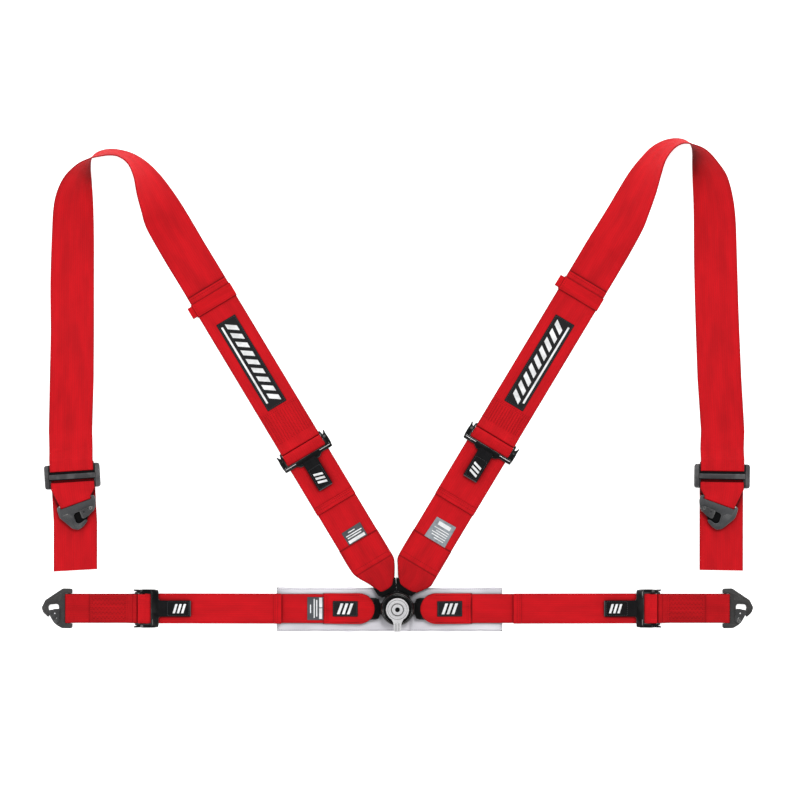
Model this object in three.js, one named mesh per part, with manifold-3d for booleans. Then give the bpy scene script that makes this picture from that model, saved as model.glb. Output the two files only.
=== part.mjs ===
// Four-point racing harness, laid out flat: two shoulder belts, two lap belts, a rotary
// release buckle on its pad, four tilt adjusters, two three-bar slides and four snap hooks.
// Millimetres, +Z up. The origin is on the floor under the axis of the buckle, +Y points
// from the lap belts towards the shoulder belts, and +X is the wearer's left-hand belt.
import * as THREE from 'three';
import { mergeVertices } from 'three/addons/utils/BufferGeometryUtils.js';
import Module from 'manifold-3d';

const wasm = await Module();
wasm.setup();

// ---- Driving dimensions -----------------------------------------------------------------
const GAP = 0.3;                // clearance between touching pieces
const WEB = 2;                  // webbing thickness
const LAP_WIDTH = 51;           // two-inch lap webbing
const SHOULDER_WIDTH = 76;      // three-inch shoulder webbing
const LAYER_1 = WEB / 2;        // mid height of webbing that lies on the floor
const LAYER_2 = LAYER_1 + WEB + GAP;    // mid height of a second layer on the first

const BELT_LEAN = 31 * Math.PI / 180;   // shoulder belts, measured from +Y
// The two belts are laid by hand, so each side has its own small offsets.
const SIDES = [
  {
    name: 'left', sign: -1, foot: -2.5, tongueAngle: 119, lock: 325, keeper: 614,
    riser: 566, riserBend: 571, hookTip: 559,
    // floor edge x, y and plan offset of the raised edge, from the belt round to the riser
    arch: [[338, 640, 65, -39], [371, 696, 63, -39], [393, 729, 49, -40], [415, 757, 33, -40],
      [437, 778, 15, -33], [460, 792, 1, -25], [484, 799, -8, -20], [505, 800, -14, -18],
      [523, 795, -14, -15], [533, 784, -5, -10], [535, 768, 14, -5], [533, 742, 40, -2],
      [531, 707, 59, -3], [530, 650, 68, -2], [530, 560, 73.5, 0], [531, 480, 75, 0],
      [533, 400, 75.9, 0]],
  },
  {
    name: 'right', sign: 1, foot: -9.9, tongueAngle: 67, lock: 342, keeper: 627,
    riser: 565, riserBend: 567, hookTip: 559,
    arch: [[330, 640, 65, -39], [365, 696, 59, -40], [384, 728, 51, -42], [404, 760, 41, -43],
      [424, 785, 28, -39], [443, 804, 15, -35], [463, 815, 3, -31], [482, 819, -5, -23],
      [497, 816, -9, -15], [508, 808, -3, -10], [511, 795, 13, -6], [511, 774, 34, -5],
      [512.5, 745, 53, -3], [515, 690, 66, -3], [517, 600, 72, -1], [520, 500, 75, 0],
      [524.5, 400, 75.9, 0]],
  },
];

const PAD = { halfLength: 197, halfWidth: 39, shift: -14, flat: 93, thick: 5, edge: 2.2, y: -2 };

const BUCKLE_RADIUS = 29;
const BASE_Z = PAD.thick + GAP;
const BASE_THICK = 3;
const TONGUE_THICK = 3;
const TONGUE_Z = BASE_Z + BASE_THICK + 0.8;
const TONGUE_MID = TONGUE_Z + TONGUE_THICK / 2;
const HOUSING_Z = BASE_Z + BASE_THICK + GAP;
const HOUSING_TOP = 24;
const CAVITY_RADIUS = 25;
const CAVITY_TOP = 20;
const SHAFT_RADIUS = 5;
const LEVER_DISC_RADIUS = 19.7;
const LEVER_REACH = 41;
const LEVER_THICK = 4.5;
const LEVER_TAIL_HALF = 5.9;
const BADGE_RADIUS = 11.4;

const LAP = {
  halfWidth: LAP_WIDTH / 2, coverFrom: 41, coverTo: 130, lock: 446, tailEnd: 203,
  frontFrom: -30, frontTo: -17, tip: 14, frameHalf: 35, tailLift: 1.5, hook: 580,
};
const BELT = {
  halfWidth: SHOULDER_WIDTH / 2, coverFrom: 38, coverTo: 138, tailEnd: 212,
  frontFrom: -22.5, frontTo: -14.5, tip: 10, frameHalf: 48, tailLift: 0.3,
};
const POCKET_HALF = 20;         // room for a tongue inside a belt cover
const POCKET_DEPTH = 29;
const TRAVEL_IN = 30;           // an adjuster can be drawn this far towards the buckle
const TRAVEL_OUT = 40;          // and let out this far
const BAR_RADIUS = 2.3;         // locking bar and fixed bar of an adjuster
const BAR_Z = WEB + GAP + BAR_RADIUS;
const FIXED_BAR = 9.6;          // from the locking bar, away from the buckle
const TAB = { length: 54, halfWidth: 13.5, thick: 2 };

const ARCH_STEPS = 60;
const KEEPER_LENGTH = 25;
const KEEPER_WALL = 1.6;
const KEEPER_TAB = 9;
const FOLD_END = 12;            // the folded-back end reaches this far past the keeper

const HOOK = { thick: 4, axis: -5.3, bar: 2, slotHalf: 29.5, halfWidth: 34.4 };
const HOOK_LOOP = HOOK.bar + GAP + WEB / 2;     // mid radius of webbing round a hook bar
const GATHERED_HALF = 28;       // half width of shoulder webbing gathered into a hook
const LAP_WING = -14;           // how far a lap hook's wings reach back beside the webbing
const SHOULDER_WING = HOOK.axis - HOOK.bar;
const GATE_PIVOT = [14, 21.6];
// Outlines seen from above, x from the webbing slot to the tip, throat on +y
const HOOK_OUTLINE = [[0.5, -34.5], [3.1, -34.9], [33.5, -14.6], [39.8, -1.7], [37, 7],
  [28.1, 15.3], [26, 12], [26.5, 4.5], [28, -2.5], [25.5, -6.8], [12, -7.8], [9.6, -5],
  [9.2, 14], [13, 17], [19.2, 20], [19.2, 24], [14, 28.8], [4.4, 34.4], [0.5, 34.5]];
const GATE_OUTLINE = [[13.5, -1], [25, -1], [25.4, 11], [20.5, 20], [17, 26], [12, 26],
  [9.5, 22], [10.5, 14]];
const GATE_STOP_OUTLINE = [[20, -1], [25, -1], [25.4, 11], [20, 12.5]];
const GATE_THICK = 1.4;
const RIVET = { shank: 1.5, bore: 1.8, head: 3, headThick: 0.9, proud: 0.4 };
const HOOK_TURN = 20 * Math.PI / 180;   // shoulder hooks lie turned by this much
const HOOK_TIP_Y = 181;

const SLIDE = { y: 230.5, halfX: 48.6, side: 8, bar: 8, gap: 6.2, centre: 13.6, thick: 3 };

// ---- Finishes ---------------------------------------------------------------------------
const finish = (color, roughness, metalness) =>
  () => new THREE.MeshStandardMaterial({ color, roughness, metalness });
const webbing = finish(0xc8202a, 0.85, 0);
const coverCloth = finish(0xd2232d, 0.85, 0);
const padCloth = finish(0xc6c4ca, 0.55, 0);
const tabCloth = finish(0x17181b, 0.8, 0);
const blackSteel = finish(0x1a1b1d, 0.4, 0.8);
const greySteel = finish(0x4c4d50, 0.55, 0.8);
const gateSteel = finish(0x77787a, 0.45, 0.9);
const blackPlastic = finish(0x121316, 0.45, 0);
const silver = finish(0xc9cacc, 0.3, 0.9);
const spring = finish(0x9a9ca0, 0.35, 1);

// ---- Solids -----------------------------------------------------------------------------
const harness = new THREE.Group();
harness.name = 'racing_harness';

function add(parent, name, geometry, material) {
  const mesh = new THREE.Mesh(geometry, material());
  mesh.name = name;
  parent.add(mesh);
  return mesh;
}

function frame(angle, x = 0, y = 0, z = 0) {
  const group = new THREE.Group();
  group.position.set(x, y, z);
  group.rotation.z = angle;
  harness.add(group);
  return group;
}

function toManifold(geometry) {
  let bare = geometry.clone();
  bare.deleteAttribute('normal');
  bare.deleteAttribute('uv');
  bare = mergeVertices(bare, 1e-4);
  const triVerts = new Uint32Array(bare.index.array);
  const vertProperties = new Float32Array(bare.attributes.position.array);
  return new wasm.Manifold(new wasm.Mesh({ numProp: 3, vertProperties, triVerts }));
}

function toGeometry(manifold) {
  const mesh = manifold.getMesh();
  const geometry = new THREE.BufferGeometry();
  geometry.setAttribute('position', new THREE.BufferAttribute(mesh.vertProperties, 3));
  geometry.setIndex(new THREE.BufferAttribute(mesh.triVerts, 1));
  return geometry;
}

function join(first, ...rest) {
  return toGeometry(rest.reduce((sum, part) => sum.add(toManifold(part)), toManifold(first)));
}

function cut(first, ...rest) {
  return toGeometry(rest.reduce((left, part) => left.subtract(toManifold(part)), toManifold(first)));
}

// A box given by its lowest and highest corners.
function box(x0, y0, z0, x1, y1, z1) {
  const geometry = new THREE.BoxGeometry(x1 - x0, y1 - y0, z1 - z0);
  return geometry.translate((x0 + x1) / 2, (y0 + y1) / 2, (z0 + z1) / 2);
}

// An upright cylinder.
function disc(radius, z0, z1, x = 0, y = 0, sides = 40) {
  const geometry = new THREE.CylinderGeometry(radius, radius, z1 - z0, sides);
  return geometry.rotateX(Math.PI / 2).translate(x, y, (z0 + z1) / 2);
}

// A round bar along Y.
function crossBar(radius, halfLength, x, z, sides = 16) {
  const geometry = new THREE.CylinderGeometry(radius, radius, 2 * halfLength, sides);
  return geometry.translate(x, 0, z);
}

// A flat plate from an outline of [x, y] corners.
function plate(outline, z0, z1) {
  const shape = new THREE.Shape(outline.map(([x, y]) => new THREE.Vector2(x, y)));
  const geometry = new THREE.ExtrudeGeometry(shape, { depth: z1 - z0, bevelEnabled: false });
  return geometry.translate(0, 0, z0);
}

// A band of webbing through stations {point, half, thick}: half is the vector from the
// middle of the band to one edge. Bends are mitred, so layers keep their distance.
function band(stations) {
  const positions = [];
  const last = stations.length - 1;
  stations.forEach(({ point, half, thick = WEB }, i) => {
    const before = new THREE.Vector3();
    const after = new THREE.Vector3();
    if (i > 0) before.subVectors(point, stations[i - 1].point).normalize();
    if (i < last) after.subVectors(stations[i + 1].point, point).normalize();
    const along = before.clone().add(after).normalize();
    const mitre = i > 0 && i < last ? Math.sqrt((1 + before.dot(after)) / 2) : 1;
    const up = new THREE.Vector3().crossVectors(along, half).normalize();
    up.multiplyScalar(thick / 2 / Math.max(mitre, 0.5));
    for (const [side, face] of [[1, 1], [-1, 1], [-1, -1], [1, -1]]) {
      const corner = point.clone().addScaledVector(half, side).addScaledVector(up, face);
      positions.push(corner.x, corner.y, corner.z);
    }
  });
  // Both faces split each bay on the same diagonal, so a twisted bay keeps its thickness.
  const index = [0, 2, 1, 0, 3, 2];
  for (let i = 0; i < last; i += 1) {
    for (let k = 0; k < 4; k += 1) {
      const a = 4 * i + k;
      const b = 4 * i + (k + 1) % 4;
      if (k < 2) index.push(a, b + 4, a + 4, a, b, b + 4);
      else index.push(a, b, a + 4, b, b + 4, a + 4);
    }
  }
  const end = 4 * last;
  index.push(end, end + 1, end + 2, end, end + 2, end + 3);
  const geometry = new THREE.BufferGeometry();
  geometry.setAttribute('position', new THREE.Float32BufferAttribute(positions, 3));
  geometry.setIndex(index);
  return geometry;
}

// Points [x, z] of a band that keeps one width, in the plane of its length.
const station = (x, z, halfWidth, thick) => (
  { point: new THREE.Vector3(x, 0, z), half: new THREE.Vector3(0, halfWidth, 0), thick });
const flatStations = (points, halfWidth) => points.map(([x, z]) => station(x, z, halfWidth));

// Points on an arc round [x, z], angles in degrees.
function arc(x, z, radius, from, to, steps = 6) {
  return Array.from({ length: steps + 1 }, (_, i) => {
    const angle = (from + (to - from) * i / steps) * Math.PI / 180;
    return [x + radius * Math.cos(angle), z + radius * Math.sin(angle)];
  });
}

// ---- Buckle -----------------------------------------------------------------------------
function tongueOutline(bladeHalf, shoulderHalf, reach) {
  const upper = [[14, 6], [17, 7], [22, bladeHalf - 1], [25, bladeHalf], [31, bladeHalf],
    [37, shoulderHalf - 2], [40, shoulderHalf], [reach, shoulderHalf]];
  return [...upper.map(([x, y]) => [x, -y]), ...upper.reverse()];
}

function tongue(shoulderHalf, reach) {
  const slotHalf = shoulderHalf - 5;
  return cut(
    plate(tongueOutline(10, shoulderHalf, reach), TONGUE_Z, TONGUE_Z + TONGUE_THICK),
    box(reach - 10, -slotHalf, 0, reach - 5, slotHalf, 30),
  );
}

const TONGUES = [
  ['tongue_lap_right', 0, 19, 60],
  ['tongue_lap_left', 180, 19, 60],
  ['tongue_shoulder_right', SIDES[1].tongueAngle, 15, 60],
  ['tongue_shoulder_left', SIDES[0].tongueAngle, 15, 60],
];

function buckle() {
  add(harness, 'buckle_base', disc(BUCKLE_RADIUS - 1, BASE_Z, BASE_Z + BASE_THICK), blackSteel);
  const slots = TONGUES.map(([, angle]) =>
    box(15, -11, HOUSING_Z - 1, 35, 11, TONGUE_Z + TONGUE_THICK + 0.5)
      .rotateZ(angle * Math.PI / 180));
  add(harness, 'buckle_housing', cut(
    disc(BUCKLE_RADIUS, HOUSING_Z, HOUSING_TOP, 0, 0, 56),
    disc(CAVITY_RADIUS, HOUSING_Z - 1, CAVITY_TOP),
    disc(SHAFT_RADIUS + GAP, CAVITY_TOP - 1, HOUSING_TOP + 1, 0, 0, 24),
    ...slots,
  ), blackPlastic);
  const camZ = TONGUE_Z + TONGUE_THICK + GAP;
  add(harness, 'cam_rotor', join(
    disc(13, camZ, camZ + 3),
    disc(SHAFT_RADIUS, camZ + 1, HOUSING_TOP + GAP + 1, 0, 0, 24),
  ), blackSteel);
  add(harness, 'return_spring', cut(
    disc(22, camZ, camZ + 2.5),
    disc(15, camZ - 1, camZ + 4),
    box(0, -2, camZ - 1, 30, 2, camZ + 4),
  ), spring);
  const leverZ = HOUSING_TOP + 1 + 2 * GAP;
  const half = LEVER_TAIL_HALF;
  const flare = Math.asin((half + 2.5) / LEVER_DISC_RADIUS);
  const outline = new THREE.Shape();
  outline.absarc(0, 0, LEVER_DISC_RADIUS, -Math.PI / 2 + flare, 3 * Math.PI / 2 - flare, false);
  outline.quadraticCurveTo(-half, -LEVER_DISC_RADIUS - 3, -half, -LEVER_REACH + 4);
  outline.absarc(0, -LEVER_REACH + half, half, Math.PI, 2 * Math.PI, false);
  outline.quadraticCurveTo(half, -LEVER_DISC_RADIUS - 3,
    LEVER_DISC_RADIUS * Math.sin(flare), -LEVER_DISC_RADIUS * Math.cos(flare));
  const blank = new THREE.ExtrudeGeometry(outline,
    { depth: LEVER_THICK, bevelEnabled: false, curveSegments: 16 }).translate(0, 0, leverZ);
  add(harness, 'release_lever', cut(blank,
    disc(BADGE_RADIUS + GAP, leverZ + LEVER_THICK - 1.2, leverZ + LEVER_THICK + 1)), silver);
  add(harness, 'lever_badge',
    disc(BADGE_RADIUS, leverZ + LEVER_THICK - 1.2 + GAP, leverZ + LEVER_THICK + 0.4), silver);
  for (const [name, angle, shoulderHalf, reach] of TONGUES) {
    const holder = frame(angle * Math.PI / 180);
    add(holder, name, tongue(shoulderHalf, reach), blackSteel);
  }
}

function pad() {
  const { halfLength, halfWidth, shift, flat, thick, edge, y } = PAD;
  const profile = [[-halfLength, edge], [-flat, thick], [flat, thick], [halfLength, edge]];
  const outline = new THREE.Shape([[-halfLength, 0], [halfLength, 0], ...profile.reverse()]
    .map(([x, z]) => new THREE.Vector2(x, z)));
  const slab = new THREE.ExtrudeGeometry(outline, { depth: 2 * halfWidth, bevelEnabled: false });
  add(harness, 'buckle_pad', slab.rotateX(Math.PI / 2).translate(shift, y + halfWidth, 0), padCloth);
}

// ---- Adjusters and the belts that run through them --------------------------------------
function adjuster(group, name, spec) {
  const { halfWidth, lock, frontFrom, frontTo, tip, frameHalf } = spec;
  const inner = halfWidth + 1;
  const armTop = BAR_Z + BAR_RADIUS + 1.6;
  const webEnd = lock + FIXED_BAR + BAR_RADIUS + 0.5;
  const cheek = (side) => [
    [lock + frontFrom, side * inner], [webEnd, side * inner], [webEnd, side * (inner + 3)],
    [lock + tip - 6, side * (inner + 4.5)], [lock + tip, side * (frameHalf - 1.5)],
    [lock + tip - 1, side * frameHalf], [lock + frontFrom + 2, side * frameHalf],
    [lock + frontFrom, side * (frameHalf - 2)]];
  const cheeks = [plate(cheek(-1), LAYER_1, armTop), plate(cheek(1), LAYER_1, armTop)];
  const front = box(lock + frontFrom, -frameHalf + 2, armTop - 2.2, lock + frontTo,
    frameHalf - 2, armTop);
  const anchor = crossBar(BAR_RADIUS, inner + 1, lock + FIXED_BAR, BAR_Z);
  const seat = crossBar(BAR_RADIUS + GAP, inner + 3, lock, BAR_Z);
  add(group, `adjuster_frame_${name}`, join(cut(cheeks[0], seat), cut(cheeks[1], seat), front, anchor),
    blackSteel);
  add(group, `lock_bar_${name}`, crossBar(BAR_RADIUS, inner + 2.5, lock, BAR_Z), gateSteel);
  const tabEnd = lock + frontFrom - 2;
  const tabZ = armTop - 1;
  add(group, `pull_tab_${name}`, box(tabEnd - TAB.length, -TAB.halfWidth, tabZ,
    tabEnd, TAB.halfWidth, tabZ + TAB.thick), tabCloth);
}

// The belt between tongue and adjuster: its cover, its lower run, the turn round the
// locking bar and the free tail that comes back on top.
function lowerBelt(group, name, spec, coverStations, runStart) {
  const { halfWidth, lock, tailEnd, tailLift } = spec;
  const loop = BAR_RADIUS + GAP + WEB / 2;
  const pocket = box(spec.coverFrom - 5, -POCKET_HALF, TONGUE_Z - 1,
    spec.coverFrom + POCKET_DEPTH, POCKET_HALF, TONGUE_Z + TONGUE_THICK + 1);
  add(group, `belt_cover_${name}`, cut(band(coverStations), pocket), coverCloth);
  const runEnd = lock - 5 - TRAVEL_IN;
  add(group, `lower_belt_${name}`, band(flatStations([...runStart, [runEnd, LAYER_1]], halfWidth)),
    webbing);
  add(group, `belt_turn_${name}`, band(flatStations(
    [[lock - 4, LAYER_1], ...arc(lock, BAR_Z, loop, -90, 90, 8), [lock - 5, BAR_Z + loop]],
    halfWidth)), webbing);
  const tailStart = lock - 6 - TRAVEL_OUT;
  add(group, `free_tail_${name}`, band(flatStations(
    [[tailEnd, heightOf(runStart, tailEnd) + WEB + tailLift],
      [tailStart, LAYER_1 + WEB + tailLift]], halfWidth)), webbing);
}

// Height of a run of [x, z] points at x.
function heightOf(points, x) {
  for (let i = 1; i < points.length; i += 1) {
    const [x0, z0] = points[i - 1];
    const [x1, z1] = points[i];
    if (x <= x1) return z0 + (z1 - z0) * (x - x0) / (x1 - x0);
  }
  return LAYER_1;
}

// ---- Snap hooks -------------------------------------------------------------------------
// Local X runs from the webbing slot to the tip; hand puts the throat on +Y or -Y.
function snapHook(parent, name, hand, wing, x, y, z, angle) {
  const group = new THREE.Group();
  group.position.set(x, y, z);
  group.rotation.z = angle;
  parent.add(group);
  const low = -HOOK.thick / 2;
  const high = HOOK.thick / 2;
  const turned = (outline) => outline.map(([u, v]) => [u, hand * v]);
  const body = plate(turned(HOOK_OUTLINE), low, high);
  const arm = (side) => plate([[wing, side * HOOK.slotHalf], [2, side * HOOK.slotHalf],
    [2, side * HOOK.halfWidth], [wing + 2, side * HOOK.halfWidth],
    [wing, side * (HOOK.halfWidth - 2)]], low, high);
  const pivot = [GATE_PIVOT[0], hand * GATE_PIVOT[1]];
  const bore = disc(RIVET.bore, low - 1, high + 3, ...pivot, 16);
  add(group, `snap_hook_${name}`, cut(join(body, arm(-1), arm(1),
    crossBar(HOOK.bar, HOOK.slotHalf + 1, HOOK.axis, 0)), bore), greySteel);
  const gateTop = high + GAP + GATE_THICK;
  const cheek = plate(turned(GATE_OUTLINE), high + GAP, gateTop);
  const stop = plate(turned(GATE_STOP_OUTLINE), low, high + GAP + 1);
  add(group, `hook_gate_${name}`, cut(join(cheek, stop), bore), gateSteel);
  add(group, `gate_rivet_${name}`, join(
    disc(RIVET.shank, low - RIVET.proud, gateTop + GAP + RIVET.proud, ...pivot, 16),
    disc(RIVET.head, gateTop + GAP, gateTop + GAP + RIVET.headThick, ...pivot, 16),
  ), silver);
}

// ---- Lap belts --------------------------------------------------------------------------
function lapBelt(side) {
  const name = `lap_${side.name}`;
  const group = frame(side.sign > 0 ? 0 : Math.PI);
  const coverEnd = TONGUE_MID - 4.1;
  lowerBelt(group, name, LAP, [
    station(LAP.coverFrom, TONGUE_MID, 12, 7.5), station(50, TONGUE_MID, 22, 9.5),
    station(60, TONGUE_MID, 26.5, 10.4), station(80, TONGUE_MID - 1, 26.5, 8.5),
    station(LAP.coverTo, coverEnd, 26.5, 3.4),
  ], [[LAP.coverTo + GAP, coverEnd], [400, LAYER_1]]);
  adjuster(group, name, LAP);
  const loop = BAR_RADIUS + GAP + WEB / 2;
  const anchor = LAP.lock + FIXED_BAR;
  const hookAxis = LAP.hook + HOOK.axis;
  const hookZ = WEB + GAP + HOOK.bar;
  const middle = (anchor + hookAxis) / 2;
  add(group, `outer_belt_${name}`, band(flatStations([
    [middle - GAP, LAYER_1], ...arc(anchor, BAR_Z, loop, 270, 90, 8),
    [anchor + 14, LAYER_2], [hookAxis - 12, LAYER_2],
    ...arc(hookAxis, hookZ, HOOK_LOOP, 90, -90, 8), [middle + GAP, LAYER_1]],
  LAP.halfWidth)), webbing);
  snapHook(group, name, -side.sign, LAP_WING, LAP.hook, 0, hookZ, 0);
}

// ---- Shoulder belts ---------------------------------------------------------------------
function shoulderBelt(side) {
  const name = `shoulder_${side.name}`;
  const { sign } = side;
  const angle = Math.PI / 2 - sign * BELT_LEAN;
  const group = frame(angle, sign * side.foot);
  const spec = { ...BELT, lock: side.lock };
  lowerBelt(group, name, spec, [
    station(BELT.coverFrom, TONGUE_MID, 14.5, 7), station(54, TONGUE_MID, 24, 9),
    station(66, TONGUE_MID - 1, 31, 9.5), station(82, TONGUE_MID - 3, 38.5, 8),
    station(BELT.coverTo, 2.2, 38.5, 3.6),
  ], [[BELT.coverTo + GAP, 2.2], [150, LAYER_1]]);
  adjuster(group, name, spec);

  // Upper belt: the sewn end on top, round the fixed bar, up the chest, on edge round the
  // top, down the riser, through the slide, round the hook and back as the riser's tail.
  const along = new THREE.Vector3(sign * Math.sin(BELT_LEAN), Math.cos(BELT_LEAN), 0);
  const across = new THREE.Vector3(Math.cos(BELT_LEAN), -sign * Math.sin(BELT_LEAN), 0);
  across.multiplyScalar(sign * BELT.halfWidth);
  const onBelt = ([s, z], half = across) => ({
    point: new THREE.Vector3(sign * side.foot, 0, z).addScaledVector(along, s), half,
  });
  const anchor = spec.lock + FIXED_BAR;
  const loop = BAR_RADIUS + GAP + WEB / 2;
  const foldEnd = side.keeper + KEEPER_LENGTH + FOLD_END;
  const stations = [[foldEnd, LAYER_2], [anchor + 12, LAYER_2],
    ...arc(anchor, BAR_Z, loop, 90, 270, 8), [foldEnd, LAYER_1]].map((p) => onBelt(p));

  const edges = side.arch.map(([x, y, dx, dy]) => [
    new THREE.Vector3(sign * x, y, LAYER_1),
    new THREE.Vector3(sign * dx, dy, 0),
  ]);
  const floorEdge = new THREE.CatmullRomCurve3(edges.map(([edge]) => edge));
  const offset = new THREE.CatmullRomCurve3(edges.map(([, away]) => away));
  for (let i = 1; i <= ARCH_STEPS; i += 1) {
    const lean = offset.getPoint(i / ARCH_STEPS);
    const rise = Math.sqrt(Math.max(SHOULDER_WIDTH ** 2 - lean.lengthSq(), 0));
    const half = lean.setZ(rise).setLength(BELT.halfWidth);
    stations.push({ point: floorEdge.getPoint(i / ARCH_STEPS).add(half), half });
  }

  const straight = new THREE.Vector3(sign * BELT.halfWidth, 0, 0);
  const onRiser = ([y, z], x = side.riser) => (
    { point: new THREE.Vector3(sign * x, y, z), half: straight });
  const returnZ = LAYER_1 + WEB + 0.4;
  const underZ = returnZ + WEB + GAP;
  const slideZ = underZ + WEB / 2 + GAP;
  const overZ = slideZ + SLIDE.thick + GAP + WEB / 2;
  const topA = SLIDE.y + SLIDE.centre / 2 + SLIDE.gap + SLIDE.bar;
  const slotAB = SLIDE.y + SLIDE.centre / 2 + SLIDE.gap / 2;
  const slotBC = SLIDE.y - SLIDE.centre / 2 - SLIDE.gap / 2;
  const endC = slotBC - SLIDE.gap / 2 - SLIDE.bar;
  const layer = WEB + GAP;
  const hookAngle = -Math.PI / 2 - sign * HOOK_TURN;
  const hookDir = new THREE.Vector3(Math.cos(hookAngle), Math.sin(hookAngle), 0);
  const hookZ = returnZ + WEB / 2 + GAP + HOOK.bar;
  const hookPoint = new THREE.Vector3(sign * side.hookTip, HOOK_TIP_Y, hookZ);
  const hookAxis = hookPoint.clone().addScaledVector(hookDir, HOOK.axis);
  const hookHalf = new THREE.Vector3(hookDir.y, -hookDir.x, 0).multiplyScalar(-sign * GATHERED_HALF);
  const roundHook = arc(0, 0, HOOK_LOOP, 90, -90, 8).map(([u, z]) => ({
    point: hookAxis.clone().addScaledVector(hookDir, u).setZ(hookZ + z), half: hookHalf,
  }));
  stations.push(onRiser([310, LAYER_1], side.riserBend));
  stations.push(...[[topA + 8, overZ + layer],
    [slotAB - layer / 2, overZ + layer], [slotAB - layer / 2, underZ], [slotBC, underZ],
    [slotBC, overZ], [endC - 1, overZ]].map((p) => onRiser(p)));
  stations.push(...roundHook);
  stations.push(...[[endC - 3, returnZ], [slotAB + layer / 2, returnZ],
    [slotAB + layer / 2, overZ], [topA + 1.4, overZ], [topA + 1.4, LAYER_1], [68, LAYER_1]]
    .map((p) => onRiser(p)));
  add(harness, `upper_belt_${side.name}`, band(stations), webbing);

  const slide = frame(0, sign * side.riser, SLIDE.y, slideZ);
  const halfY = SLIDE.centre / 2 + SLIDE.gap + SLIDE.bar;
  const inner = SLIDE.halfX - SLIDE.side;
  const window = (y) => box(-inner, y, -1, inner, y + SLIDE.gap, SLIDE.thick + 1);
  add(slide, `three_bar_slide_${side.name}`, cut(
    plate([[-SLIDE.halfX, -halfY + 3], [-SLIDE.halfX + 3, -halfY], [SLIDE.halfX - 3, -halfY],
      [SLIDE.halfX, -halfY + 3], [SLIDE.halfX, halfY - 3], [SLIDE.halfX - 3, halfY],
      [-SLIDE.halfX + 3, halfY], [-SLIDE.halfX, halfY - 3]], 0, SLIDE.thick),
    window(SLIDE.centre / 2), window(-SLIDE.centre / 2 - SLIDE.gap),
  ), blackPlastic);

  // The keeper goes round both layers of the belt.
  const keeperIn = BELT.halfWidth + GAP;
  const top = LAYER_2 + WEB / 2 + GAP;
  const wall = KEEPER_WALL;
  const keeperEnd = side.keeper + KEEPER_LENGTH;
  add(group, `keeper_${side.name}`, cut(
    join(
      box(side.keeper, -keeperIn - wall, 0, keeperEnd, keeperIn + wall, top + wall),
      box(side.keeper + 2, keeperIn, top - 1, keeperEnd - 2, keeperIn + KEEPER_TAB, top + wall),
    ),
    box(side.keeper - 1, -keeperIn, -1, keeperEnd + 1, keeperIn, top),
  ), webbing);
  snapHook(harness, name, -sign, SHOULDER_WING, hookPoint.x, hookPoint.y, hookZ, hookAngle);
}

pad();
buckle();
SIDES.forEach((side) => {
  lapBelt(side);
  shoulderBelt(side);
});

export default harness;
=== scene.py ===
"""Four-point racing harness laid out flat, seen from straight above.

Shapes are made in millimetres, in the frame of the belt that they belong to, and are
brought to metres in the frame of the CAD bodies when the mesh is made. In a belt's frame
x runs out from the buckle along the belt, y to its left and z up.
"""

import math

import bmesh
import bpy
from mathutils import Matrix, Vector


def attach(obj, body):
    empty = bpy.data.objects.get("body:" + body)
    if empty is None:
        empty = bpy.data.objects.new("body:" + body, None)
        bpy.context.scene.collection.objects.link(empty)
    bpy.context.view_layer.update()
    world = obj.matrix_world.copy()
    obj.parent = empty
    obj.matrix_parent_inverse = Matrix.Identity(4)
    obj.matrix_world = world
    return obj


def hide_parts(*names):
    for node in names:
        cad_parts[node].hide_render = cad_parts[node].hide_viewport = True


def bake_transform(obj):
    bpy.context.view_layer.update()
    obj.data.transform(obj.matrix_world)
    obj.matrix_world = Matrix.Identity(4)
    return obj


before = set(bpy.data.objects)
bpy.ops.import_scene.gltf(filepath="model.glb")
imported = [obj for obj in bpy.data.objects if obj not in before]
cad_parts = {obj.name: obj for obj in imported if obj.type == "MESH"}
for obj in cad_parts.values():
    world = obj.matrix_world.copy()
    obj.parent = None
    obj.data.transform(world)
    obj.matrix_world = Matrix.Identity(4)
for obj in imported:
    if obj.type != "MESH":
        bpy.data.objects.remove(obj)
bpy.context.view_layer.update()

MM = 0.001

# ---- Dimensions shared with the CAD model, in millimetres ---------------------------------
GAP = 0.3
WEB = 2.0
LAYER_1 = 1.0
LAYER_2 = 3.3
LEAN = math.radians(31)
BAR_Z = 4.6
BAR_LOOP = 3.6
BAR_RADIUS = 2.3
CHEEK_TOP = 8.5
FIXED_BAR = 9.6
TONGUE_Z = 9.1
TONGUE_THICK = 3.0
HOUSING_Z = 8.6
LEVER_Z = 25.6
LEVER_TOP = 30.1
LEVER_RADIUS = 19.7
LEVER_REACH = 38.6

# Each kind of belt: half its width, then distances from its locking bar and from the buckle.
# Front is the two edges of the adjuster's front bar, lips the corners of that bar's nose, and
# run the lower belt's (x, z) course.
LAP = {
    "half": 25.5, "lock": 446.0, "front": (-30.0, -17.0), "tip": 14.0, "frame_half": 33.2,
    "tail_end": 203.0, "tail_lift": 1.5, "hook": 580.0, "lips": [(0.0, 16), (-1.6, 15.6)],
    "slotted": False, "ridge_from": 19.0, "tab_half": 14.0, "tab_marks": 8.5,
    "run": [(118, 7.0), (130.3, 6.5), (400, 1), (442, 1)],
}
SHOULDER = {
    "half": 38.0, "front": (-22.5, -14.5), "tip": 10.0, "frame_half": 48.0,
    "tail_end": 212.0, "tail_lift": 0.3, "lips": [(0.6, 25.0), (-4.6, 19.0)],
    "slotted": True, "ridge_from": 24.0, "tab_half": 13.5, "tab_marks": 8.0,
    "run": [(126, 2.6), (138.3, 2.2), (150, 1), (321, 1)],
}
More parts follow.
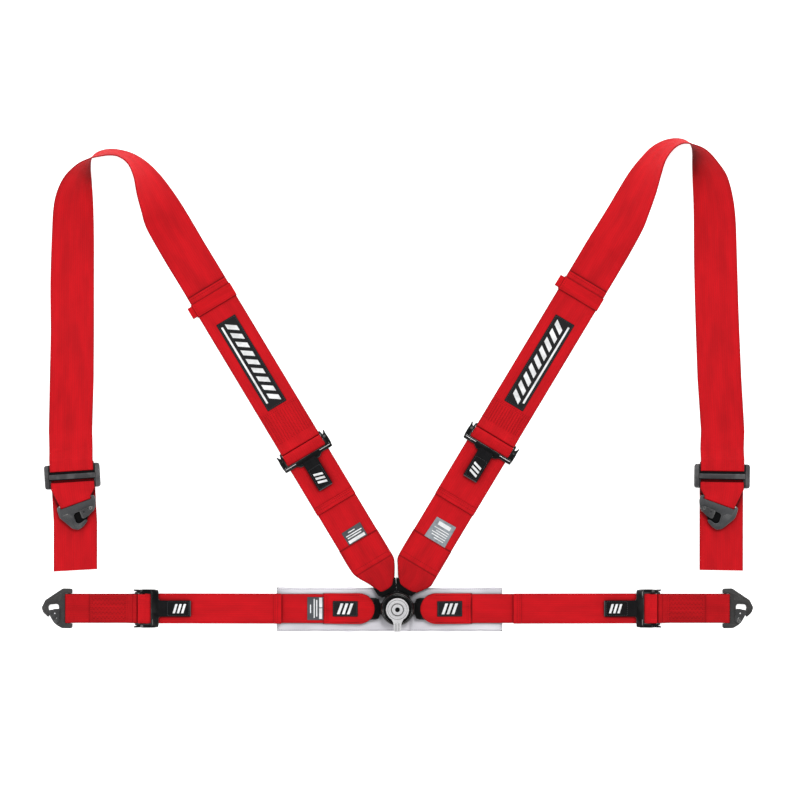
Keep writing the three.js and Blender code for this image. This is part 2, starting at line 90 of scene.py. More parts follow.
# Each side's arch: x and y of the edge that stands on the floor, then how far off in x and y
# the raised edge lies.
SIDES = [
    {
        "name": "left", "sign": -1, "foot": -2.5, "lock": 325, "keeper": 614,
        "riser": 566, "riser_bend": 570, "tail": 561.5, "slant": 3.2, "tilt": 3.6,
        "tag": "dark",
        "arch": [
            (338, 640, 65, -39), (371, 696, 63, -39), (393, 729, 49, -40),
            (415, 757, 33, -40), (437, 778, 15, -33), (460, 792, 1, -25),
            (484, 799, -8, -20), (505, 800, -14, -18), (523, 795, -14, -15),
            (533, 785, -4, -10), (535, 769, 15.5, -5), (533, 743, 41.5, -2),
            (530.5, 707, 61, -3), (529, 650, 68.5, -2), (529, 560, 72.5, 0),
            (529, 480, 71.5, 0), (529.5, 400, 74, 0),
        ],
    },
    {
        "name": "right", "sign": 1, "foot": -9.9, "lock": 342, "keeper": 627,
        "riser": 565, "riser_bend": 567, "tail": 564.5, "slant": 1.0, "tilt": -0.8,
        "tag": "clear",
        "arch": [
            (330, 640, 65, -39), (365, 696, 59, -40), (384, 728, 51, -42),
            (404, 760, 41, -43), (424, 785, 28, -39), (443, 804, 15, -35),
            (463, 815, 3, -31), (482, 819, -5, -23), (499, 817, -8, -15),
            (510.5, 809, -1.5, -10), (514, 796, 15, -6), (514, 774, 36.5, -5),
            (514.5, 745, 55, -3), (516.3, 690, 67.2, -3), (517, 600, 71.5, -1),
            (519.5, 500, 72.5, 0), (523, 400, 74.5, 0),
        ],
    },
]
KEEPER_LENGTH = 25.0
EAR_LENGTH = 21.0
FOLD_END = 12.0
HOOK_AXIS = -5.3
HOOK_LOOP = 3.3
HOOK_THICK = 4.0
HOOK_TURN = math.radians(20)
HOOK_TIP = (559.0, 181.0)
GATHERED_HALF = 28.0
GATE_PIVOT = (14.0, 21.6)
SLIDE_Y = 230.5
SLIDE_HALF_X = 48.6
SLIDE_CENTRE = 13.6
SLIDE_GAP = 6.2
SLIDE_BAR = 8.0
SLIDE_Z = (6.9, 8.5)
SLIDE_CROWN = 12.3
TAB_LENGTH = 54.0
TONGUE_HALF = 19.0
TONGUE_END = 60.0
TONGUE_ANGLES = {"lap_right": 0, "lap_left": 180, "shoulder_right": 67, "shoulder_left": 119}


# ---- Camera, light and floor ---------------------------------------------------------------
def photograph_view():
    """A camera straight above, framed as the photograph is."""
    height = 3.87
    seen = 1.3952
    data = bpy.data.cameras.new("camera")
    data.angle = 2 * math.atan(seen / 2 / height)
    data.clip_end = 50
    camera = bpy.data.objects.new("camera", data)
    camera.location = (0.0044, 0.363, height)
    bpy.context.collection.objects.link(camera)
    bpy.context.scene.camera = camera


def soft_light(name, location, size, power):
    """A square lamp aimed at the buckle."""
    data = bpy.data.lights.new(name, "AREA")
    data.size = size
    data.energy = power
    lamp = bpy.data.objects.new(name, data)
    lamp.location = location
    lamp.rotation_euler = (-Vector(location)).to_track_quat("-Z", "Y").to_euler()
    bpy.context.collection.objects.link(lamp)


def studio():
    """A graded white sky, two lamps and a floor of white paper that glows a little."""
    scene = bpy.context.scene
    scene.view_settings.view_transform = "Standard"
    scene.view_settings.look = "None"
    world = bpy.data.worlds.new("studio")
    world.use_nodes = True
    tree = world.node_tree
    sky = tree.nodes.new("ShaderNodeTexCoord")
    split = tree.nodes.new("ShaderNodeSeparateXYZ")
    ramp = tree.nodes.new("ShaderNodeMapRange")
    for socket, value in enumerate((0.45, 0.97, 1.15, 0.16), 1):
        ramp.inputs[socket].default_value = value
    tree.links.new(sky.outputs["Generated"], split.inputs[0])
    tree.links.new(split.outputs[2], ramp.inputs[0])
    tree.links.new(ramp.outputs[0], tree.nodes["Background"].inputs["Strength"])
    tree.nodes["Background"].inputs["Color"].default_value = (1, 1, 1, 1)
    scene.world = world
    soft_light("key", (1.5, 3.4, 4.8), 1.3, 128)
    soft_light("fill", (-2.2, 0.4, 2.0), 1.6, 14)
    floor = bpy.data.objects.new("floor", bpy.data.meshes.new("floor"))
    reach = 4
    floor.data.from_pydata(
        [(-reach, -reach, 0), (reach, -reach, 0), (reach, reach, 0), (-reach, reach, 0)],
        [], [(0, 1, 2, 3)])
    floor.location.z = -0.0004
    bpy.context.collection.objects.link(floor)
    paper = bpy.data.materials.new("paper")
    paper.use_nodes = True
    shader = paper.node_tree.nodes["Principled BSDF"]
    shader.inputs["Base Color"].default_value = (0.93, 0.93, 0.93, 1)
    shader.inputs["Roughness"].default_value = 0.9
    shader.inputs["Emission Color"].default_value = (1, 1, 1, 1)
    shader.inputs["Emission Strength"].default_value = 0.85
    floor.data.materials.append(paper)


photograph_view()
studio()


# ---- Materials -----------------------------------------------------------------------------
class Nodes:
    """Short calls that add and link shader nodes."""

    def __init__(self, name, **sockets):
        self.material = bpy.data.materials.new(name)
        self.material.use_nodes = True
        self.tree = self.material.node_tree
        self.shader = self.tree.nodes["Principled BSDF"]
        for socket, value in sockets.items():
            self.shader.inputs[socket.replace("_", " ")].default_value = value

    def add(self, kind, output=0, inputs=(), **settings):
        node = self.tree.nodes.new(kind)
        for key, value in settings.items():
            setattr(node, key, value)
        for key, value in dict(inputs).items():
            if isinstance(value, bpy.types.NodeSocket):
                self.tree.links.new(value, node.inputs[key])
            else:
                node.inputs[key].default_value = value
        return node.outputs[output]

    def math(self, operation, a, b=0.0, c=0.0):
        return self.add("ShaderNodeMath", 0, {0: a, 1: b, 2: c}, operation=operation)

    def product(self, shade, *others):
        for other in others:
            shade = self.math("MULTIPLY", shade, other)
        return shade

    def beside(self, value, middle):
        """How far the value is from the middle."""
        return self.math("ABSOLUTE", self.math("SUBTRACT", value, middle))

    def noise(self, vector, scale, detail=3.0):
        inputs = {"Vector": vector, "Scale": scale, "Detail": detail}
        return self.add("ShaderNodeTexNoise", 0, inputs)

    def stretched(self, vector, scale):
        return self.add("ShaderNodeMapping", 0, {"Vector": vector, "Scale": scale})

    def remap(self, value, low, high, to_low, to_high):
        inputs = {0: value, 1: low, 2: high, 3: to_low, 4: to_high}
        return self.add("ShaderNodeMapRange", 0, inputs)

    def mix(self, factor, a, b):
        inputs = {0: factor, 6: a, 7: b}
        return self.add("ShaderNodeMix", 2, inputs, data_type="RGBA")

    def tint(self, factor, colour):
        """A colour multiplied by a shade."""
        inputs = {0: colour[:3] if isinstance(colour, tuple) else colour, "Scale": factor}
        return self.add("ShaderNodeVectorMath", 0, inputs, operation="SCALE")

    def position(self):
        return self.add("ShaderNodeTexCoord", 3)

    def lane(self):
        """Millimetres across and along the webbing, and from its nearer edge."""
        place = self.add("ShaderNodeAttribute", 1, attribute_name="lane")
        parts = self.tree.nodes.new("ShaderNodeSeparateXYZ")
        self.tree.links.new(place, parts.inputs[0])
        return place, parts.outputs[0], parts.outputs[1], parts.outputs[2]

    def painted_crevice_shade(self, reach, darkest, own=False, shut=0.25, clear=0.92):
        """Painted shade: the colour darkens where surfaces, or the piece's own, crowd within reach."""
        inputs = {"Distance": reach}
        open_share = self.add("ShaderNodeAmbientOcclusion", 1, inputs, samples=8, only_local=own)
        return self.remap(open_share, shut, clear, darkest, 1.0)

    def bump(self, height, distance, strength=1.0):
        inputs = {"Height": height, "Distance": distance, "Strength": strength}
        self.wire("Normal", self.add("ShaderNodeBump", 0, inputs))

    def wire(self, socket, value):
        self.tree.links.new(value, self.shader.inputs[socket])


def rgb(red, green, blue):
    """Linear colour from an 8-bit sRGB one."""
    def linear(level):
        share = level / 255
        return share / 12.92 if share <= 0.04045 else ((share + 0.055) / 1.055) ** 2.4
    return (linear(red), linear(green), linear(blue), 1.0)


def webbing(name, light, dark, selvedge, rib=1.45, twill=1.3, depth=0.00016, seam=None,
            buckle_side_tone=1.0, end=None):
    """Woven strap: lengthwise ribs in a herringbone, with a firmer line at each edge.

    Painted shade darkens the cloth where other surfaces, or its own folds, crowd it. Covers get
    painted shade in the groove of their seam and at their end, and are darker on the buckle side of
    the seam."""
    n = Nodes(name, Roughness=0.72, Specular_IOR_Level=0.12)
    place, across, along, edge = n.lane()
    ribs = n.math("SINE", n.product(across, math.tau / rib))
    zigzag = n.math("PINGPONG", across, 3.1)
    weave = n.math("SINE", n.product(n.math("ADD", along, zigzag), math.tau / twill))
    patches = n.noise(n.stretched(place, (0.05, 0.012, 0)), 1.0, 4.0)
    streaks = n.noise(n.stretched(place, (0.55, 0.004, 0)), 1.0, 2.0)
    fuzz = n.noise(n.stretched(place, (1.4, 1.4, 0)), 1.0, 2.0)
    cloth = n.mix(n.remap(patches, 0.36, 0.66, 0.0, 1.0), light, dark)
    lines = n.math("SINE", n.product(across, math.tau / 3.9))
    # The last two factors are painted shade where other surfaces, or the strap's own folds, crowd the
    # cloth.
    shade = n.product(
        n.remap(ribs, -1, 1, 0.88, 1.05), n.remap(weave, -1, 1, 0.88, 1.05),
        n.remap(streaks, 0.3, 0.7, 0.96, 1.03), n.remap(lines, -1, 1, 0.95, 1.02),
        n.remap(fuzz, 0.3, 0.7, 0.92, 1.06), n.painted_crevice_shade(0.02, 0.1),
        n.painted_crevice_shade(0.08, 0.02, own=True, shut=0.5, clear=0.93))
    # Painted shade: a dark line in the groove of a cover's seam and at the cover's end. The buckle
    # side of the seam is darker.
    if seam:
        shade = n.product(
            shade, n.remap(n.beside(along, seam), 0.4, 1.7, 0.56, 1.0),
            n.remap(along, seam - 2, seam, buckle_side_tone, 1.0),
            n.remap(along, end - 2.4, end - 0.8, 1.0, 0.35))
    cord = n.product(n.remap(edge, 0.4, 1.7, selvedge, 1.0),
                     n.remap(n.beside(edge, 3.4), 0, 0.6, 0.86, 1.0))
    n.wire("Base Color", n.tint(n.product(shade, cord), cloth))
    n.wire("Roughness", n.remap(fuzz, 0.3, 0.7, 0.62, 0.8))
    height = n.math("ADD", n.product(ribs, 0.5), n.product(weave, 0.5))
    n.bump(n.math("ADD", height, n.product(fuzz, 0.4)), depth, 0.8)
    return n.material


def coated_metal(name, base, worn, roughness, metallic, grain, depth, coat=0.0, sheen=0.5):
    """Painted or blackened steel with a fine grain, painted shade in its crevices, and lighter where
    it rubs.
    """
    n = Nodes(name, Metallic=metallic, Coat_Weight=coat, Coat_Roughness=0.2,
              Specular_IOR_Level=sheen)
    place = n.position()
    fine = n.noise(place, grain, 4.0)
    broad = n.noise(place, grain * 0.06, 2.0)
    ends = n.add("ShaderNodeNewGeometry", 7)
    wear = n.product(n.remap(ends, 0.52, 0.6, 0.0, 1.0), n.remap(broad, 0.42, 0.6, 0, 0.8))
    # The fine grain is darkened by painted shade where surfaces crowd within 6 mm.
    grain_and_painted_shade = n.product(n.remap(fine, 0.3, 0.7, 0.78, 1.22), n.painted_crevice_shade(0.006, 0.25))
    n.wire("Base Color", n.mix(wear, n.tint(grain_and_painted_shade, base), worn))
    n.wire("Roughness", n.remap(broad, 0.3, 0.7, roughness - 0.07, roughness + 0.08))
    n.bump(fine, depth, 0.7)
    return n.material


def satin(name, base, shadow):
    """Close satin cloth with soft creases, painted shade in their hollows and in its crevices."""
    n = Nodes(name, Roughness=0.42, Specular_IOR_Level=0.45, Sheen_Weight=0.3,
              Sheen_Roughness=0.35)
    place = n.position()
    folds = n.noise(n.stretched(place, (9, 26, 9)), 1.0, 3.0)
    threads = n.add("ShaderNodeTexWave", 0, {"Vector": place, "Scale": 420.0, "Distortion": 0.4},
                    wave_type="BANDS", bands_direction="Y")
    # Painted shade: the cloth falls to the shadow colour in the hollows of the folds that the bump
    # draws.
    cloth = n.mix(n.remap(folds, 0.35, 0.62, 0, 1), shadow, base)
    n.wire("Base Color", n.tint(n.painted_crevice_shade(0.022, 0.4), cloth))
    n.wire("Roughness", n.remap(folds, 0.3, 0.7, 0.34, 0.52))
    n.bump(n.math("ADD", folds, n.product(threads, 0.03)), 0.004, 0.5)
    return n.material


def woven_label(name, base):
    """Close plain-woven label cloth."""
    n = Nodes(name, Roughness=0.7, Specular_IOR_Level=0.25)
    place = n.position()
    threads = n.add("ShaderNodeTexChecker", 1, {"Vector": place, "Scale": 900.0})
    cloud = n.noise(place, 60.0, 3.0)
    n.wire("Base Color", n.tint(n.remap(cloud, 0.3, 0.7, 0.8, 1.2), base))
    n.wire("Roughness", n.remap(cloud, 0.3, 0.7, 0.6, 0.78))
    n.bump(threads, 0.00008, 0.5)
    return n.material


def moulded(name, base, roughness, sheen):
    """Moulded plastic with a fine spark-eroded grain."""
    n = Nodes(name, Specular_IOR_Level=sheen)
    place = n.position()
    fine = n.noise(place, 1400.0, 2.0)
    broad = n.noise(place, 45.0, 3.0)
    n.wire("Base Color", n.tint(n.remap(broad, 0.3, 0.7, 0.85, 1.15), base))
    n.wire("Roughness", n.remap(broad, 0.3, 0.7, roughness - 0.06, roughness + 0.08))
    n.bump(fine, 0.00006, 0.5)
    return n.material


def brushed(name, base, roughness):
    """Satin-finished alloy with short brush marks and painted shade in its crevices."""
    n = Nodes(name, Metallic=0.3)
    place = n.position()
    marks = n.noise(n.stretched(place, (2600, 260, 900)), 1.0, 3.0)
    broad = n.noise(place, 70.0, 3.0)
    # Painted shade where surfaces crowd within 3 mm, on a broad tone.
    shade = n.product(n.remap(broad, 0.3, 0.7, 0.92, 1.05), n.painted_crevice_shade(0.003, 0.3))
    n.wire("Base Color", n.tint(shade, base))
    n.wire("Roughness", n.remap(marks, 0.3, 0.7, roughness - 0.08, roughness + 0.1))
    n.bump(marks, 0.00004, 0.4)
    return n.material


def clear_film(name, base):
    """Glossy film that lies a little uneven."""
    n = Nodes(name, Roughness=0.16, Specular_IOR_Level=0.6, Coat_Weight=0.6, Coat_Roughness=0.1)
    cloud = n.noise(n.position(), 130.0, 3.0)
    n.wire("Base Color", n.tint(n.remap(cloud, 0.35, 0.65, 0.78, 1.15), base))
    n.bump(cloud, 0.0012, 0.5)
    return n.material


RED = webbing("webbing", rgb(219, 19, 30), rgb(200, 17, 27), 0.5)
SHOULDER_COVER = webbing("shoulder_cover_cloth", rgb(216, 17, 28), rgb(188, 15, 24), 0.55,
                         rib=1.1, twill=1.0, seam=87, buckle_side_tone=0.87, end=138)
COVER_RED = webbing("cover_cloth", rgb(222, 17, 28), rgb(196, 15, 24), 0.55,
                    rib=1.1, twill=1.0, seam=128, end=130)
OUTER_RED = webbing("outer_webbing", rgb(200, 17, 26), rgb(182, 15, 23), 0.5)
TAB_BLACK = webbing("tab_webbing", rgb(24, 24, 26), rgb(14, 14, 16), 0.7, rib=1.1, twill=1.0)
THREAD = webbing("thread", rgb(150, 14, 20), rgb(128, 12, 17), 0.9, rib=0.4, twill=0.5)
TAB_THREAD = woven_label("tab_thread", rgb(70, 71, 74))
PAD_SATIN = satin("pad_satin", rgb(236, 234, 241), rgb(210, 208, 215))
LABEL_BLACK = woven_label("label_black", rgb(20, 20, 23))
LABEL_WHITE = woven_label("label_white", rgb(236, 237, 238))
TAG_GREY = woven_label("tag_grey", rgb(78, 80, 84))
TAG_CLEAR = clear_film("tag_clear", rgb(150, 156, 162))
BLACK_STEEL = coated_metal("black_steel", rgb(6, 6, 7), rgb(170, 170, 170), 0.3, 0.2,
                           900.0, 0.00006, 0.5, sheen=0.25)
HOOK_GREY = coated_metal("grey_steel", rgb(56, 55, 55), rgb(150, 150, 148), 0.55, 0.3,
                         520.0, 0.0003)
SHOULDER_GREY = coated_metal("plain_grey_steel", rgb(76, 77, 79), rgb(205, 203, 199), 0.42,
                             0.45, 900.0, 0.00008)
GATE_GREY = coated_metal("gate_steel", rgb(70, 70, 71), rgb(190, 190, 188), 0.4, 0.4,
                         700.0, 0.0001)
SLIDE_BLACK = coated_metal("slide_black", rgb(58, 57, 59), rgb(120, 120, 120), 0.5, 0.1,
                           900.0, 0.00008)
BUCKLE_BLACK = moulded("black_plastic", rgb(4, 4, 5), 0.26, 0.28)
SILVER = brushed("silver_lever", rgb(228, 227, 229), 0.3)
# Black for the badge's print and for sheets of painted shade in the hooks' throats and along the
# slides' middle bars.
PRINT_AND_SHADE_BLACK = moulded("print_and_shade_black", rgb(4, 4, 5), 0.75, 0.15)
SPRING = brushed("spring_steel", rgb(168, 170, 174), 0.3)


# ---- Mesh making ---------------------------------------------------------------------------
WORLD = Matrix.Identity(4)


def weld(mesh, reach=0.0, bridge=False):
    """Join the corners that lie within reach, close the rims and turn the faces outward."""
    bm = bmesh.new()
    bm.from_mesh(mesh)
    if reach:
        bmesh.ops.remove_doubles(bm, verts=bm.verts, dist=reach)
    rims = [e for e in bm.edges if e.is_boundary] if bridge else []
    if rims:
        bmesh.ops.bridge_loops(bm, edges=rims)
    bmesh.ops.recalc_face_normals(bm, faces=bm.faces)
    bm.to_mesh(mesh)
    bm.free()


def make(name, verts, faces, material, matrix=WORLD, lane=None, sharp=35):
    """A mesh object in metres from millimetre corners in a belt's frame."""
    mesh = bpy.data.meshes.new(name)
    mesh.from_pydata([(matrix @ Vector(v)) * MM for v in verts], [], faces)
    weld(mesh)
    if lane:
        values = mesh.attributes.new("lane", "FLOAT_VECTOR", "POINT")
        values.data.foreach_set("vector", [x for place in lane for x in place])
    return finish_mesh(name, mesh, material, sharp)


def place_mesh(name, mesh):
    """The mesh as an object, named apart from the CAD node that it stands for."""
    piece = bpy.data.objects.new(f"{name}_shown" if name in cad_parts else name, mesh)
    bpy.context.collection.objects.link(piece)
    return piece


def finish_mesh(name, mesh, material, sharp=35):
    """The mesh as a smooth-shaded object of one material, with its sharper edges kept."""
    dress(mesh, material, sharp)
    return place_mesh(name, mesh)


def dress(mesh, material, sharp):
    """Shade the mesh smooth between its sharper edges, in one material."""
    mesh.shade_smooth()
    mesh.set_sharp_from_angle(angle=math.radians(sharp))
    mesh.materials.clear()
    mesh.materials.append(material)


def oblong(x0, y0, x1, y1):
    return [(x0, y0), (x1, y0), (x1, y1), (x0, y1)]


def circle(x, y, radius, count=20):
    turns = [math.tau * k / count for k in range(count)]
    return [(x + radius * math.cos(t), y + radius * math.sin(t)) for t in turns]


def fillet(points, radius, closed=True, steps=4):
    """The outline with each corner rounded, reaching at most radius along its sides."""
    count = len(points)
    rounded = []
    for i, corner in enumerate(points):
        here = Vector(corner)
        if not closed and i in (0, count - 1):
            rounded.append(here)
            continue
        back = Vector(points[i - 1]) - here
        ahead = Vector(points[(i + 1) % count]) - here
        reach = min(radius, 0.48 * back.length, 0.48 * ahead.length)
        start = here + back.normalized() * reach
        end = here + ahead.normalized() * reach
        for k in range(steps + 1):
            t = k / steps
            rounded.append((1 - t) ** 2 * start + 2 * t * (1 - t) * here + t * t * end)
    return rounded


def plate(name, outlines, z0, z1, bevel, material, matrix=WORLD):
    """A flat plate with eased edges. The first outline is its rim, the others are holes."""
    curve = bpy.data.curves.new(name, "CURVE")
    curve.dimensions = "2D"
    curve.fill_mode = "BOTH"
    curve.extrude = (z1 - z0) / 2 - bevel
    curve.bevel_depth = bevel
    curve.bevel_resolution = 2
    curve.offset = -bevel
    for outline in outlines:
        spline = curve.splines.new("POLY")
        spline.points.add(len(outline) - 1)
        for point, corner in zip(spline.points, outline):
            point.co = (corner[0], corner[1], 0, 1)
        spline.use_cyclic_u = True
    drawn = bpy.data.objects.new(name, curve)
    bpy.context.collection.objects.link(drawn)
    bpy.context.view_layer.update()
    mesh = bpy.data.meshes.new_from_object(
        drawn.evaluated_get(bpy.context.evaluated_depsgraph_get()))
    bpy.data.objects.remove(drawn)
    mesh.transform(Matrix.Translation((0, 0, (z0 + z1) / 2)))
    mesh.transform(Matrix.Scale(MM, 4) @ matrix)
    weld(mesh, 2e-6)
    return finish_mesh(name, mesh, material)


def from_bmesh(name, bm, material, matrix):
    """A mesh object in metres from a bmesh in millimetres, which is freed."""
    bm.transform(Matrix.Scale(MM, 4) @ matrix)
    mesh = bpy.data.meshes.new(name)
    bm.to_mesh(mesh)
    bm.free()
    return finish_mesh(name, mesh, material)


def block(name, low, high, bevel, material, matrix=WORLD):
    """A box with rounded edges between two corners."""
    bm = bmesh.new()
    bmesh.ops.create_cube(bm, size=1)
    size = Vector(high) - Vector(low)
    centre = (Vector(high) + Vector(low)) / 2
    for vert in bm.verts:
        vert.co = Vector(x * s for x, s in zip(vert.co, size)) + centre
    bmesh.ops.bevel(bm, geom=bm.edges[:], offset=bevel, segments=3, affect="EDGES", profile=0.5)
    return from_bmesh(name, bm, material, matrix)


def lathe(name, profile, material, matrix=WORLD, sides=96):
    """A turned piece from (radius, z) corners. A zero radius closes it on the axis."""
    verts = []
    rings = []
    for radius, z in profile:
        if radius == 0:
            rings.append([len(verts)])
            verts.append((0, 0, z))
            continue
        rings.append(list(range(len(verts), len(verts) + sides)))
        for k in range(sides):
            turn = math.tau * k / sides
            verts.append((radius * math.cos(turn), radius * math.sin(turn), z))
    faces = []
    loops = list(zip(rings, rings[1:]))
    if profile[0][0] and profile[-1][0]:
        loops.append((rings[-1], rings[0]))
    for lower, upper in loops:
        for k in range(sides):
            n = (k + 1) % sides
            if len(lower) == 1:
                faces.append((lower[0], upper[n], upper[k]))
            elif len(upper) == 1:
                faces.append((lower[k], lower[n], upper[0]))
            else:
                faces.append((lower[k], lower[n], upper[n], upper[k]))
    return make(name, verts, faces, material, matrix, sharp=28)


def washer(name, inner, outer, z0, z1, material, sides):
    return lathe(name, [(inner, z0), (outer, z0), (outer, z1), (inner, z1)], material, sides=sides)


def rod(name, radius, half, material, matrix, sides):
    """A plain round bar that reaches half each way along its axis."""
    ends = [(0, -half), (radius, -half), (radius, half), (0, half)]
    return lathe(name, ends, material, matrix, sides)


def crosswise(matrix, x, z):
    """The frame of a turned piece that lies across a belt at x and z."""
    return matrix @ Matrix.Translation((x, 0, z)) @ Matrix.Rotation(math.pi / 2, 4, "X")


def merge(name, pieces):
    """One object from several, with their materials."""
    mesh = bpy.data.meshes.new(name)
    slots = []
    bm = bmesh.new()
    for piece in pieces:
        material = piece.data.materials[0]
        if material not in slots:
            slots.append(material)
        first = len(bm.faces)
        bm.from_mesh(piece.data)
        bm.faces.ensure_lookup_table()
        for face in bm.faces[first:]:
            face.material_index = slots.index(material)
        old = piece.data
        bpy.data.objects.remove(piece)
        bpy.data.meshes.remove(old)
    bm.to_mesh(mesh)
    bm.free()
    for material in slots:
        mesh.materials.append(material)
    return place_mesh(name, mesh)


def carve(piece, cutters):
    """Take the cutters' volumes away from the piece."""
    for cutter in cutters:
        tool = piece.modifiers.new("cut", "BOOLEAN")
        tool.operation = "DIFFERENCE"
        tool.solver = "EXACT"
        tool.object = cutter
    bpy.context.view_layer.update()
    graph = bpy.context.evaluated_depsgraph_get()
    mesh = bpy.data.meshes.new_from_object(piece.evaluated_get(graph))
    piece.modifiers.clear()
    material = piece.data.materials[0]
    piece.data = mesh
    dress(mesh, material, 28)
    for cutter in cutters:
        bpy.data.objects.remove(cutter)


# ---- Webbing -------------------------------------------------------------------------------
def section(half, thick, lanes):
    """Corners (across, up) of a cut through the webbing, with rounded selvedges."""
    radius = thick / 2
    flat = half - radius
    ring = []
    for side, face in ((1, 1), (-1, -1)):
        for k in range(lanes + 1):
            ring.append((side * flat * (1 - 2 * k / lanes), face * radius))
        for turn in (45, 90, 135):
            angle = math.radians(turn)
            ring.append((-side * (flat + radius * math.sin(angle)),
                         face * radius * math.cos(angle)))
    return ring


def tube(rings, size):
    """Faces of a closed tube of rings, each of size corners, with both its ends shut."""
    faces = [tuple(range(size)), tuple(range((rings - 1) * size, rings * size))]
    for i in range(rings - 1):
        for k in range(size):
            n = (k + 1) % size
            faces.append((i * size + k, i * size + n, (i + 1) * size + n, (i + 1) * size + k))
    return faces


def web(name, stations, material, thick=WEB, lanes=10, matrix=WORLD):
    """A band of webbing through stations (point, half), half reaching to its left edge."""
    verts = []
    lane = []
    along = 0.0
    last = len(stations) - 1
    for i, (point, half) in enumerate(stations):
        before = (point - stations[i - 1][0]) if i else Vector()
        after = (stations[i + 1][0] - point) if i < last else Vector()
        along += before.length
        before.normalize()
        after.normalize()
        course = (before + after).normalized()
        mitre = math.sqrt(max((1 + before.dot(after)) / 2, 0.25)) if 0 < i < last else 1
        up = course.cross(half).normalized() / mitre
        side = half.normalized()
        for across, rise in section(half.length, thick, lanes):
            verts.append(point + side * across + up * rise)
            lane.append((across, along, half.length - abs(across)))
    faces = tube(len(stations), len(section(1, 1, lanes)))
    return make(name, verts, faces, material, matrix, lane, sharp=50)


def span(stations, step=7.0):
    """Stations no further apart than step, on the same straight legs."""
    dense = [stations[0]]
    for (a, half_a), (b, half_b) in zip(stations, stations[1:]):
        count = max(1, math.ceil((b - a).length / step))
        for k in range(1, count + 1):
            dense.append((a.lerp(b, k / count), half_a.lerp(half_b, k / count)))
    return dense


def flat_run(points, half, radius, step=7.0):
    """Stations along (x, z) points in a belt's frame, with rounded corners."""
    course = fillet(points, radius, closed=False)
    return span([(Vector((x, 0, z)), Vector((0, half, 0))) for x, z in course], step)


def arc(x, z, radius, start, end):
    """Points on an arc in the plane of a belt's length, angles in degrees."""
    steps = 10
    turns = [math.radians(start + (end - start) * k / steps) for k in range(steps + 1)]
    return [(x + radius * math.cos(t), z + radius * math.sin(t)) for t in turns]


def height_on(points, x):
    """Height of a run of (x, z) points at x."""
    for (x0, z0), (x1, z1) in zip(points, points[1:]):
        if x <= x1:
            return z0 + (z1 - z0) * max(0, (x - x0) / (x1 - x0))
    return points[-1][1]


def level(z):
    """A flat surface at height z."""
    return lambda x, y: z


def over(surface, rise):
    """The surface raised by rise."""
    return lambda x, y: surface(x, y) + rise


def patch(name, corners, surface, thick, material, matrix=WORLD, radius=0.8):
    """A thin patch on a surface: (x, y) corners, rounded, with the surface's height at x, y."""
    rim = fillet(corners, radius, steps=3)
    low_x = min(p.x for p in rim)
    high_x = max(p.x for p in rim)
    bm = bmesh.new()
    bottom = [bm.verts.new((p.x, p.y, 0)) for p in rim]
    bm.faces.new(bottom)
    cuts = max(1, math.ceil((high_x - low_x) / PATCH_STEP))
    for k in range(1, cuts):
        x = low_x + (high_x - low_x) * k / cuts
        bmesh.ops.bisect_plane(bm, geom=bm.verts[:] + bm.edges[:] + bm.faces[:],
                               plane_co=(x, 0, 0), plane_no=(1, 0, 0))
    top = bmesh.ops.extrude_face_region(bm, geom=bm.faces[:])
    raised = [v for v in top["geom"] if isinstance(v, bmesh.types.BMVert)]
    for vert in raised:
        vert.co.z = thick
    for vert in bm.verts:
        vert.co.z += surface(vert.co.x, vert.co.y)
    bmesh.ops.recalc_face_normals(bm, faces=bm.faces)
    return from_bmesh(name, bm, material, matrix)


STITCH = {"pitch": 3.6, "length": 2.7, "width": 0.8, "proud": 0.35, "sunk": 0.1}
PRINT = 0.12
PATCH_STEP = 6


def stitching(name, rows, surface, material, matrix=WORLD):
    """Rows of lockstitch between (x, y) points, each a small raised thread."""
    verts = []
    faces = []
    for start, end in rows:
        a, b = Vector(start), Vector(end)
        count = max(1, round((b - a).length / STITCH["pitch"]))
        course = (b - a).normalized()
        side = Vector((-course.y, course.x)) * STITCH["width"] / 2
        for k in range(count):
            middle = a.lerp(b, (k + 0.5) / count)
            reach = course * STITCH["length"] / 2
            flank = reach * 0.6
            base = len(verts)
            for point, lift in (
                (middle - reach, 0), (middle - flank - side, 0), (middle + flank - side, 0),
                (middle + reach, 0), (middle + flank + side, 0), (middle - flank + side, 0),
                (middle - reach * 0.5, 1), (middle + reach * 0.5, 1),
            ):
                z = surface(point.x, point.y) - STITCH["sunk"]
                z += lift * (STITCH["proud"] + STITCH["sunk"])
                verts.append((point.x, point.y, z))
            for face in ((0, 5, 4, 3, 2, 1), (0, 1, 6), (1, 2, 7, 6), (2, 3, 7), (3, 4, 7),
                         (4, 5, 6, 7), (5, 0, 6)):
                faces.append(tuple(base + i for i in face))
    return make(name, verts, faces, material, matrix, sharp=60)


def zigzag(x0, x1, y, reach, count):
    """A row of stitches that runs to and fro across y."""
    points = [(x0 + (x1 - x0) * k / count, y + (reach if k % 2 else -reach))
              for k in range(count + 1)]
    return list(zip(points, points[1:]))


def box_rows(x0, y0, x1, y1):
    """Rows of stitches round an oblong."""
    corners = oblong(x0, y0, x1, y1)
    return list(zip(corners, corners[1:] + corners[:1]))


def racing_bars(name, x0, x1, half, count, surface, material, matrix=WORLD, slant=0.7):
    """Plain slanted bars, evenly spaced."""
    pitch = (x1 - x0) / count
    bars = []
    for k in range(count):
        left = x0 + pitch * (k + 0.22)
        right = x0 + pitch * (k + 0.78)
        lean = slant * half
        corners = [(left - lean, -half), (right - lean, -half), (right + lean, half),
                   (left + lean, half)]
        bars.append(patch(f"{name}_{k}", corners, surface, PRINT, material, matrix, radius=0.4))
    return merge(name, bars)


# ---- Bodies and frames ---------------------------------------------------------------------
def tongue_body(belt):
    return "buckle" if belt == "lap_right" else f"{belt}_tongue"


